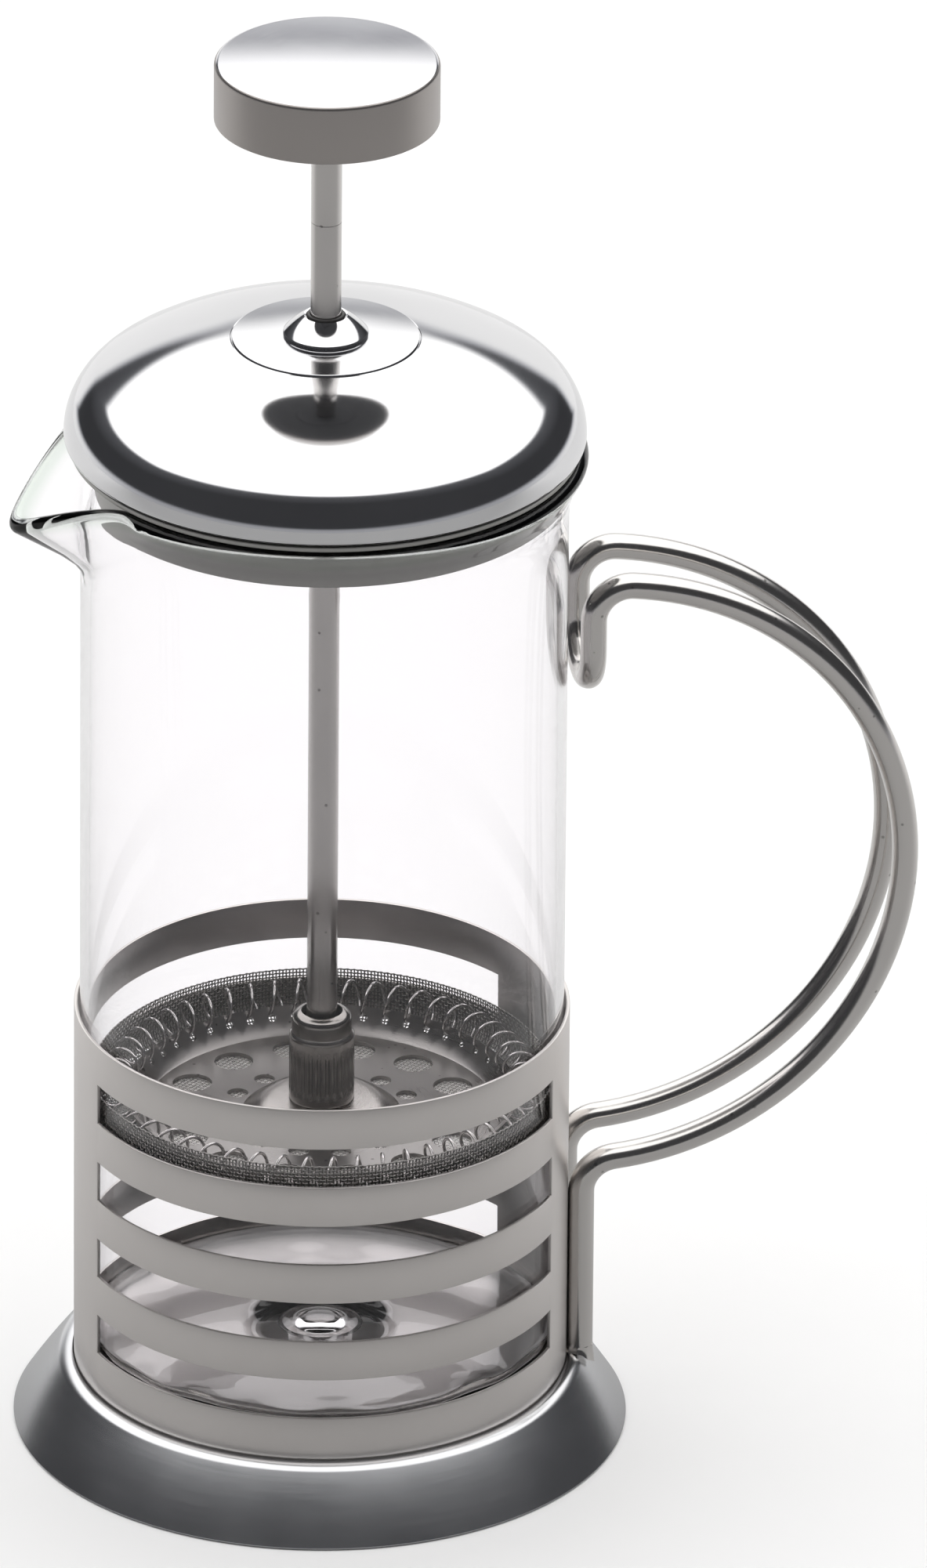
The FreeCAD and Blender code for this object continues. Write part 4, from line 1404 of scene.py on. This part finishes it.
@dataclass
class Plunger:
    """The plunger: knob, rods, hub, washer, perforated plate, garter spring, screen and lower plate."""

    wardrobe: Wardrobe
    thread: float = 1.4 * MM
    knob_edge: float = 0.7 * MM
    knob_sheet: float = 0.5 * MM
    knob_crown: float = 0.22 * MM
    insert_cover: float = 0.8 * MM
    insert_top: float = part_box("knob_shell")[1].z - 1.5 * MM
    flutes: int = 24
    flute_depth: float = 0.28 * MM
    flute_low: float = 1.5 * MM
    flute_high: float = 8.5 * MM
    filter_sheet: float = 0.6 * MM
    filter_flat: float = 25.6 * MM
    holes: int = 14
    first_hole: float = 14.7
    large_hole: float = 2.85 * MM
    large_ring: float = 20.9 * MM
    small_hole: float = 1.5 * MM
    small_ring: float = 13.5 * MM
    coil_turns: int = 51
    coil_wire: float = 0.25 * MM
    stud_radius: float = 1.9 * MM
    washer_dish: float = 8.2 * MM
    washer_sheet: float = 0.6 * MM
    weave_pitch: float = 0.5 * MM
    weave_wire: float = 0.13 * MM
    screen_corner: float = 3.5 * MM
    body: str = "plunger"

    def rod(self) -> bpy.types.Object:
        """Build the lower rod with its threaded spigot and a fine chamfer at the joint."""
        room = extent("plunger_rod")
        stem = extent("knob_stem").bottom
        r = room.radius
        corners = [
            (0.0, room.bottom, 0.0),
            (r, room.bottom, 0.3 * MM),
            (r, stem - 0.01 * MM, 0.06 * MM),
            (self.thread, stem - 0.01 * MM, 0.0),
            (self.thread, room.top, 0.3 * MM),
            (0.0, room.top, 0.0),
        ]
        return lathe("plunger_rod_turned", rounded(corners), 64, closed=False)

    def stem(self) -> bpy.types.Object:
        """Build the short upper rod with its own chamfer at the joint."""
        room = extent("knob_stem")
        r = room.radius
        low = room.bottom + 0.01 * MM
        corners = [
            (0.0, low + 5.4 * MM, 0.0),
            (self.thread + 0.02 * MM, low + 5.4 * MM, 0.0),
            (self.thread + 0.02 * MM, low, 0.0),
            (r, low, 0.06 * MM),
            (r, room.top, 0.2 * MM),
            (0.0, room.top, 0.0),
        ]
        return lathe("knob_stem_turned", rounded(corners), 64, closed=False)

    def knob(self) -> bpy.types.Object:
        """Build the knob's drawn shell with a crisp round edge and a rolled mouth."""
        room = extent("knob_shell")
        r, top = room.radius, room.top
        sheet = self.knob_sheet
        edge = self.knob_edge
        shoulder = top - self.knob_crown - edge
        side = [
            (r, room.bottom, 0.2 * MM),
            (r - sheet, room.bottom, 0.2 * MM),
            (r - sheet, shoulder, 0.4 * MM),
            (0.0, shoulder, 0.0),
        ]
        outline = bowed((r - edge, top - self.knob_crown), (0.0, top), -self.knob_crown / 4, 40)[::-1]
        outline += arc((r - edge, shoulder), edge, 88, 0, 10) + rounded([(r, shoulder, 0.0)] + side)[1:]
        return lathe("knob_cap", outline, 256, closed=False)

    def knob_floor(self) -> bpy.types.Object:
        """Build the moulded disc in the knob's mouth, which covers the insert's end, with a raised ring."""
        room = extent("knob_base")
        bore = extent("knob_stem").radius + 0.05 * MM
        low, high, r = room.bottom, room.top, room.radius
        covered = low + self.insert_cover
        insert = extent("knob_insert").radius + 0.02 * MM
        corners = [
            (bore, low, 0.2 * MM),
            (insert + 2.0 * MM, low, 0.2 * MM),
            (insert + 2.4 * MM, low + 0.4 * MM, 0.2 * MM),
            (r - 1.6 * MM, low + 0.4 * MM, 0.2 * MM),
            (r - 1.2 * MM, low, 0.2 * MM),
            (r, low, 0.15 * MM),
            (r, high, 0.0),
            (insert, high, 0.0),
            (insert, covered, 0.0),
            (bore, covered, 0.0),
        ]
        return lathe("knob_floor_disc", rounded(corners), 160)

    def insert(self) -> bpy.types.Object:
        """Build the brass insert in the knob, from the disc's cover to its closed top."""
        room = extent("knob_insert")
        rod = extent("knob_stem").radius + 0.02 * MM
        low = room.bottom + self.insert_cover + 0.02 * MM
        closed = extent("knob_stem").top + 0.02 * MM
        corners = [
            (rod, low, 0.2 * MM),
            (room.radius, low, 0.2 * MM),
            (room.radius, self.insert_top, 0.2 * MM),
            (0.0, self.insert_top, 0.0),
            (0.0, closed, 0.0),
            (rod, closed, 0.0),
        ]
        return lathe("knob_brass_insert", rounded(corners), 96)

    def hub(self) -> bpy.types.Object:
        """Build the fluted hub with its smooth waisted top."""
        room = extent("filter_hub")
        low, top, r = room.bottom, room.top, room.radius
        rod = extent("plunger_rod").radius
        waist = 3.4 * MM
        mouth = 2.9 * MM
        outline = rounded([(self.stud_radius, low, 0.0), (r, low, 0.3 * MM), (r, low + 1.0 * MM, 0.0)])
        outline += [(r, low + 1.0 * MM + (top - waist - low - 1.2 * MM) * step / 24) for step in range(1, 25)]
        outline += [(r - 0.10 * MM, top - waist), (r - 0.34 * MM, top - waist + 0.3 * MM)]
        outline += arc((r - 1.75 * MM, top - 1.35 * MM), 1.35 * MM, 0, 82, 12)
        seat = top - 2.6 * MM
        rod_end = low + 6.9 * MM
        outline += [(mouth + 0.1 * MM, top), (mouth, top - 0.12 * MM), (mouth, seat), (rod, seat)]
        outline += [(rod, rod_end), (self.stud_radius, rod_end)]

        def flute(radius: float, z: float, turn: float) -> tuple[float, float]:
            """Cut the flutes into the hub's side."""
            rise = z - low
            if radius < r - 0.02 * MM or not self.flute_low < rise < self.flute_high:
                return radius, z
            ends = min(rise - self.flute_low, self.flute_high - rise) / (0.7 * MM)
            wave = max(math.cos(self.flutes * turn), 0.0) ** 0.5
            return radius - self.flute_depth * min(ends, 1.0) * wave, z

        return lathe("fluted_hub", outline, self.flutes * 12, reshape=flute)

    def washer(self) -> bpy.types.Object:
        """Build the pressed washer under the hub."""
        room = extent("dished_washer")
        sheet = self.washer_sheet
        bore = self.stud_radius
        corners = [
            (bore, room.top - sheet, 0.0),
            (self.washer_dish - sheet / 2, room.top - sheet, 0.8 * MM),
            (room.radius - 1.0 * MM, room.bottom, 0.15 * MM),
            (room.radius, room.bottom, 0.25 * MM),
            (self.washer_dish, room.top, 1.4 * MM),
            (bore, room.top, 0.0),
        ]
        return lathe("pressed_washer", rounded(corners, 6), 160)

    def plate(self) -> bpy.types.Object:
        """Build the flat of the filter plate with its two rings of holes."""
        room = extent("filter_plate")
        values = {
            "Radius": self.filter_flat,
            "Bore": self.stud_radius,
            "Sheet": self.filter_sheet,
            "Bottom": room.bottom,
            "Holes": self.holes,
            "First Angle": math.radians(self.first_hole),
            "Large Hole": self.large_hole,
            "Large Ring": self.large_ring,
            "Small Hole": self.small_hole,
            "Small Ring": self.small_ring,
            "Material": self.wardrobe.material(Finish.FILTER),
        }
        piece = grown("perforated_plate", perforated_tree(), values)
        face_outwards(piece.data)
        smooth_by_angle(piece.data)
        return piece

    def plate_rim(self) -> bpy.types.Object:
        """Build the plate's upturned rim, pierced for each turn of the spring."""
        room = extent("filter_plate")
        inner, outer = self.filter_flat, room.radius - self.filter_sheet / 2
        low, high = room.bottom + self.filter_sheet / 2, room.top
        profile = [(inner - 0.02 * MM, low), (inner + 0.45 * MM, low + 0.35 * MM)]
        cells = self.coil_turns
        hole_points = 12
        hole_size = 0.36
        hole_middle, hole_stretch = 0.60, 0.42
        vertices: list[tuple[float, float, float]] = []
        faces: list[tuple[int, ...]] = []

        def place(turn: float, share: float) -> tuple[float, float, float]:
            """Put a point of the pierced band in space; share runs from the band's foot to its top."""
            r = profile[1][0] + (outer - profile[1][0]) * share ** 0.85
            z = profile[1][1] + (high - profile[1][1]) * share
            return (r * math.cos(turn), r * math.sin(turn), z)

        step = 2 * math.pi / cells
        square = [(-1, -1), (-0.33, -1), (0.33, -1), (1, -1), (1, -0.33), (1, 0.33)]
        square += [(-x, -y) for x, y in square]
        for cell in range(cells):
            middle = (cell + 0.5) * step
            start = len(vertices)
            for x, y in square:
                vertices.append(place(middle + x * step / 2, 0.5 + y / 2))
            for x, y in square:
                length = math.hypot(x, y)
                across = x / length * hole_size * step / 2
                share = hole_middle + y / length * hole_size * hole_stretch
                vertices.append(place(middle + across, share))
            for point in range(hole_points):
                ahead = (point + 1) % hole_points
                hole = start + hole_points
                faces.append((start + point, start + ahead, hole + ahead, hole + point))
        around = cells * 3
        ring = len(vertices)
        for r, z in profile:
            for point in range(around):
                turn = 2 * math.pi * point / around
                vertices.append((r * math.cos(turn), r * math.sin(turn), z))
        for point in range(around):
            ahead = (point + 1) % around
            faces.append((ring + point, ring + ahead, ring + around + ahead, ring + around + point))
        mesh = bpy.data.meshes.new("pierced_plate_rim")
        mesh.from_pydata(vertices, [], faces)
        work = bmesh.new()
        work.from_mesh(mesh)
        bmesh.ops.remove_doubles(work, verts=work.verts, dist=0.01 * MM)
        bmesh.ops.recalc_face_normals(work, faces=work.faces)
        work.to_mesh(mesh)
        work.free()
        piece = add_object("pierced_plate_rim", mesh)
        wall = piece.modifiers.new("wall", "SOLIDIFY")
        wall.thickness = self.filter_sheet * 0.7
        wall.offset = 0.0
        return baked(piece, 45)

    def spring(self) -> bpy.types.Object:
        """Build the garter spring."""
        room = extent("coil_spring")
        coil = (room.top - room.bottom) / 2 - self.coil_wire
        ring = -room.low.x - (room.top - room.bottom) / 2
        values = {
            "Ring Radius": ring,
            "Coil Radius": coil,
            "Wire Radius": self.coil_wire,
            "Height": (room.top + room.bottom) / 2,
            "Turns": self.coil_turns,
            "Points": self.coil_turns * 28,
            "Material": self.wardrobe.material(Finish.SPRING),
        }
        piece = grown("garter_spring", coil_tree(), values)
        face_outwards(piece.data)
        piece.data.shade_smooth()
        return piece

    def weave(
        self, name: str, finish: Finish, points: list, edges: list, faces: list, warp: list, parity: list
    ) -> bpy.types.Object:
        """Weave wire along the edges of a guide surface.

        Args:
            name: Name of the piece.
            finish: Finish of its wire.
            points: The guide's points.
            edges: Its edges, as pairs of points.
            faces: Its faces, which give the normals.
            warp: Whether each edge, by its pair, belongs to the warp.
            parity: 1 or -1 for each point, as the warp passes over or under.

        Returns:
            The woven piece.
        """
        guide = bpy.data.meshes.new(name + "_guide")
        guide.from_pydata(points, edges, faces)
        along = dict(zip([tuple(sorted(edge)) for edge in edges], warp))
        flags = [along[tuple(sorted(edge.vertices))] for edge in guide.edges]
        guide.attributes.new("warp", "BOOLEAN", "EDGE").data.foreach_set("value", flags)
        guide.attributes.new("parity", "FLOAT", "POINT").data.foreach_set("value", parity)
        tree = bpy.data.node_groups.get("woven_wire") or weave_tree()
        values = {
            "Wire Radius": self.weave_wire,
            "Lift": self.weave_wire * 0.9,
            "Material": self.wardrobe.material(finish),
        }
        piece = grown(name, tree, values, guide)
        piece.data.shade_smooth()
        return piece

    def screen_floor(self) -> bpy.types.Object:
        """Weave the flat of the screen, from the stud to the round corner, in near-white wire that is painted
        light.
        """
        room = extent("mesh_screen")
        height = room.bottom + 0.15 * MM
        limit = room.radius - self.screen_corner
        bore = 1.95 * MM
        half = int(limit / self.weave_pitch)
        index: dict[tuple[int, int], int] = {}
        points, parity = [], []
        for column in range(-half, half + 1):
            for row in range(-half, half + 1):
                x, y = column * self.weave_pitch, row * self.weave_pitch
                if bore < math.hypot(x, y) < limit + 0.2 * MM:
                    index[(column, row)] = len(points)
                    points.append((x, y, height))
                    parity.append(1.0 if (column + row) % 2 else -1.0)
        edges, warp, faces = [], [], []
        for (column, row), here in index.items():
            right, above = index.get((column + 1, row)), index.get((column, row + 1))
            corner = index.get((column + 1, row + 1))
            if right is not None:
                edges.append((here, right))
                warp.append(True)
            if above is not None:
                edges.append((here, above))
                warp.append(False)
            if None not in (right, above, corner):
                faces.append((here, right, corner, above))
        return self.weave("woven_screen_floor", Finish.MESH_FLAT_PAINTED_LIGHT, points, edges, faces, warp, parity)

    def screen_wall(self) -> bpy.types.Object:
        """Weave the screen's round corner and standing rim, in dark wire that is painted shade."""
        room = extent("mesh_screen")
        outer = room.radius - 0.16 * MM
        bend = self.screen_corner
        low = room.bottom + 0.15 * MM
        profile: list[Point2] = []
        corner_steps = int(math.pi / 2 * bend / self.weave_pitch)
        profile += arc((outer - bend, low + bend), bend, -90, 0, corner_steps)
        rise = room.top - 0.1 * MM - (low + bend)
        rows = int(rise / self.weave_pitch)
        profile += [(outer, low + bend + rise * step / rows) for step in range(1, rows + 1)]
        around = 2 * int(math.pi * outer / self.weave_pitch)
        count = len(profile)
        points, parity, edges, warp, faces = [], [], [], [], []
        for column in range(around):
            turn = 2 * math.pi * column / around
            for row, (r, z) in enumerate(profile):
                points.append((r * math.cos(turn), r * math.sin(turn), z))
                parity.append(1.0 if (column + row) % 2 else -1.0)
        for column in range(around):
            ahead = (column + 1) % around
            for row in range(count):
                here, beside = column * count + row, ahead * count + row
                edges.append((here, beside))
                warp.append(False)
                if row + 1 < count:
                    edges.append((here, here + 1))
                    warp.append(True)
                    faces.append((here, beside, beside + 1, here + 1))
        return self.weave("woven_screen_rim", Finish.MESH, points, edges, faces, warp, parity)

    def stud(self) -> bpy.types.Object:
        """Build the domed clamp screw with a hexagon recess."""
        room = extent("clamp_stud")
        shank = self.stud_radius
        head = room.bottom + 2.0 * MM
        recess = 1.5 * MM
        deep = room.bottom + 1.1 * MM
        chamfer = 0.3 * MM
        outline = [(0.0, deep), (recess, deep), (recess, room.bottom + 0.05 * MM)]
        outline += [(recess + chamfer, room.bottom)]
        outline += arc((2.0 * MM, head - 0.01 * MM), 2.5 * MM, -58, 0, 8)
        outline += [(shank, head), (shank, room.top - chamfer), (shank - chamfer, room.top)]
        outline += [(0.0, room.top)]
        outline = [(r, max(z, room.bottom)) for r, z in outline]

        def hexagon(r: float, z: float, turn: float) -> tuple[float, float]:
            """Square the recess up to six flats."""
            if abs(r - recess) < 1e-7 and z < head:
                return r * math.cos(math.pi / 6) / math.cos(math.remainder(turn, math.pi / 3)), z
            return r, z

        return lathe("clamp_screw", outline, 96, closed=False, reshape=hexagon)

    def build(self) -> None:
        """Build and dress every piece of the plunger."""
        dress, body = self.wardrobe.dress, self.body
        dress(self.rod(), Finish.ROD, body, "rod_steel", "plunger_rod")
        dress(self.stem(), Finish.ROD, body, "rod_steel", "knob_stem")
        dress(self.knob(), Finish.KNOB, body, "knob_steel", "knob_shell")
        dress(self.knob_floor(), Finish.BLACK, body, "knob_plastic", "knob_base")
        dress(self.insert(), Finish.BRASS, body, "brass_insert", "knob_insert")
        dress(self.hub(), Finish.HUB, body, "filter_steel", "filter_hub")
        dress(self.washer(), Finish.WASHER, body, "filter_steel", "dished_washer")
        dress(self.plate(), Finish.FILTER, body, "filter_steel", "filter_plate")
        dress(self.plate_rim(), Finish.FILTER, body, "filter_steel")
        dress(self.spring(), Finish.SPRING, body, "spring_steel", "coil_spring")
        dress(self.screen_floor(), Finish.MESH_FLAT_PAINTED_LIGHT, body, "mesh_steel", "mesh_screen")
        dress(self.screen_wall(), Finish.MESH, body, "mesh_steel")
        lower_plate = merged_copy("cross_plate", "lower_cross_plate")
        dress(lower_plate, Finish.FILTER, body, "filter_steel", "cross_plate")
        dress(self.stud(), Finish.HUB, body, "rod_steel", "clamp_stud")


# ---- Studio ----


@dataclass
class Studio:
    """Pale floor with painted shade in its reflections, soft light from above and behind, and the camera."""

    azimuth: float = 10.5
    pitch: float = 25.9
    roll: float = 0.49
    distance: float = 3.3822
    slide: float = 20.18 * MM
    aim_height: float = 101.2 * MM
    lens: float = 539.7
    floor_radius: float = 1.1
    soft_light: float = 1.6
    room_dark: float = 0.04
    glow: float = 0.10
    backdrop: float = 1.0
    # Floor colour in reflections, front and back: painted shade, dark in front, paler behind.
    painted_shade_front: float = 0.42
    painted_shade_back: float = 0.80
    ramp_start: float = -0.12
    ramp_end: float = 0.30
    box_edge: float = 0.578
    box_lean: float = 0.20
    box_droop: float = 0.15
    paper_start: float = 0.80
    paper_end: float = 0.87
    paper_fall: float = 0.25
    near_ground: float = 0.40
    ground_gain: float = 0.55

    def unseen(self, sketch: Sketch) -> bpy.types.NodeSocket:
        """Return 1 for light off a surface, and 0 for what shows directly or through glass."""
        path = sketch.put("ShaderNodeLightPath")
        bounces = sketch.math("ADD", path.outputs["Glossy Depth"], path.outputs["Diffuse Depth"])
        return sketch.math("MINIMUM", bounces, 1.0)

    def ahead(self, sketch: Sketch, vector: bpy.types.NodeSocket) -> bpy.types.NodeSocket:
        """Return how far a vector reaches along the studio's level line from front to back."""
        turn = math.radians(self.azimuth)
        line = (math.sin(turn), math.cos(turn), 0.0)
        product = sketch.put("ShaderNodeVectorMath", {0: vector, 1: line}, operation="DOT_PRODUCT")
        return product.outputs["Value"]

    def floor(self) -> None:
        """Make the floor, a wide disc with faint mottling: evenly pale where it shows directly, and painted
        shade where it is seen in reflections, dark in front and paler behind.
        """
        around = 96
        radius = self.floor_radius
        edge = [2 * math.pi * step / around for step in range(around)]
        vertices = [(radius * math.cos(turn), radius * math.sin(turn), 0.0) for turn in edge]
        mesh = bpy.data.meshes.new("studio_floor")
        mesh.from_pydata(vertices, [], [tuple(range(around))])
        floor = add_object("studio_floor", mesh)
        material = bpy.data.materials.new("pale_floor_painted_shade")
        material.use_nodes = True
        sketch = Sketch(material.node_tree)
        shader = material.node_tree.nodes["Principled BSDF"]
        position = sketch.put("ShaderNodeTexCoord").outputs["Object"]
        noise = sketch.put("ShaderNodeTexNoise", {"Vector": position, "Scale": 6.0, "Detail": 4.0})
        shown = sketch.math("MULTIPLY_ADD", noise.outputs[0], 0.02, 0.93)
        behind = self.ahead(sketch, position)
        # Painted shade: the floor's colour in reflections ramps from dark in front to paler behind.
        ramp = sketch.put(
            "ShaderNodeMapRange",
            {
                "Value": behind,
                "From Min": self.ramp_start,
                "From Max": self.ramp_end,
                "To Min": self.painted_shade_front,
                "To Max": self.painted_shade_back,
            },
            interpolation_type="SMOOTHSTEP",
        )
        # Directly the floor shows evenly pale; the painted shade shows only in reflections.
        level = sketch.put(
            "ShaderNodeMix", {0: self.unseen(sketch), 2: shown, 3: ramp.outputs[0]}, data_type="FLOAT"
        )
        sketch.tree.links.new(level.outputs[0], shader.inputs["Base Color"])
        shader.inputs["Roughness"].default_value = 0.75
        shader.inputs["Specular IOR Level"].default_value = 0.1
        mesh.materials.append(material)

    def light(self) -> None:
        """Light the scene by a world: a large soft box above and behind, and a dark room in front."""
        world = bpy.data.worlds.new("studio_light")
        world.use_nodes = True
        bpy.context.scene.world = world
        sketch = Sketch(world.node_tree)
        direction = sketch.put("ShaderNodeTexCoord").outputs["Generated"]
        ahead = self.ahead(sketch, direction)
        up = sketch.put("ShaderNodeSeparateXYZ", {0: direction}).outputs[2]

        def step_up(value: object, low: float, high: float) -> bpy.types.NodeSocket:
            """Ramp smoothly from 0 at low to 1 at high."""
            ramp = sketch.put(
                "ShaderNodeMapRange",
                {"Value": value, "From Min": low, "From Max": high, "To Min": 0.0, "To Max": 1.0},
                interpolation_type="SMOOTHSTEP",
            )
            return ramp.outputs[0]

        front = sketch.math("MAXIMUM", sketch.math("MULTIPLY", ahead, -1.0), 0.0)
        margin = sketch.math("MULTIPLY_ADD", ahead, self.box_lean, sketch.math("SUBTRACT", up, self.box_edge))
        margin = sketch.math("MULTIPLY_ADD", front, -self.box_droop, margin)
        box = sketch.math("MULTIPLY", step_up(margin, -0.02, 0.03), self.soft_light)
        box = sketch.math("MULTIPLY_ADD", step_up(margin, -0.40, 0.05), self.glow, box)
        rise = sketch.math("MAXIMUM", up, 0.0)
        reach = sketch.math("MULTIPLY_ADD", rise, -self.paper_fall, ahead)
        paper = step_up(reach, self.paper_start, self.paper_end)
        paper = sketch.math("MULTIPLY", paper, self.backdrop)
        ground = sketch.math("MULTIPLY_ADD", step_up(ahead, -0.3, 0.8), self.ground_gain, self.near_ground)
        ground = sketch.math("MULTIPLY", ground, sketch.math("SUBTRACT", 1.0, step_up(up, -0.10, 0.0)))
        level = sketch.math("MAXIMUM", box, paper)
        level = sketch.math("MAXIMUM", level, sketch.math("MAXIMUM", ground, self.room_dark))
        shown = sketch.put("ShaderNodeMix", {0: self.unseen(sketch), 2: 1.0, 3: level}, data_type="FLOAT")
        level = shown.outputs[0]
        tint = sketch.put(
            "ShaderNodeMix", {0: level, 6: (0.96, 0.98, 1.07, 1), 7: (1.0, 0.995, 0.99, 1)}, data_type="RGBA"
        )
        sky = world.node_tree.nodes["Background"]
        sketch.tree.links.new(tint.outputs[2], sky.inputs["Color"])
        sketch.tree.links.new(level, sky.inputs["Strength"])

    def camera(self) -> None:
        """Place the camera above the spout side of the front, looking down at the press."""
        turn, tilt, roll = (math.radians(angle) for angle in (self.azimuth, self.pitch, self.roll))
        right = Vector((math.cos(turn), -math.sin(turn), 0.0))
        ahead = Vector((math.sin(turn) * math.cos(tilt), math.cos(turn) * math.cos(tilt), -math.sin(tilt)))
        up = right.cross(ahead)
        rolled_right = right * math.cos(roll) + up * math.sin(roll)
        rolled_up = up * math.cos(roll) - right * math.sin(roll)
        place = Vector((0.0, 0.0, self.aim_height)) - ahead * self.distance + rolled_right * self.slide
        data = bpy.data.cameras.new("camera")
        data.lens = self.lens
        data.sensor_width = 36.0
        data.clip_start = 0.5
        data.clip_end = 20.0
        camera = bpy.data.objects.new("camera", data)
        bpy.context.scene.collection.objects.link(camera)
        rotation = Matrix((rolled_right, rolled_up, -ahead)).transposed()
        camera.matrix_world = Matrix.Translation(place) @ rotation.to_4x4()
        bpy.context.scene.camera = camera

    def build(self) -> None:
        """Set up the floor, the light and the camera."""
        self.floor()
        self.light()
        self.camera()
        bpy.context.scene.view_settings.view_transform = "Standard"


def main() -> None:
    """Build the studio and every piece."""
    logging.basicConfig(level=logging.INFO, format="%(name)s: %(message)s")
    Studio().build()
    wardrobe = Wardrobe()
    for part in (Stand(wardrobe), Beaker(wardrobe), Lid(wardrobe), Plunger(wardrobe)):
        part.build()


if __name__ == "__main__":
    main()
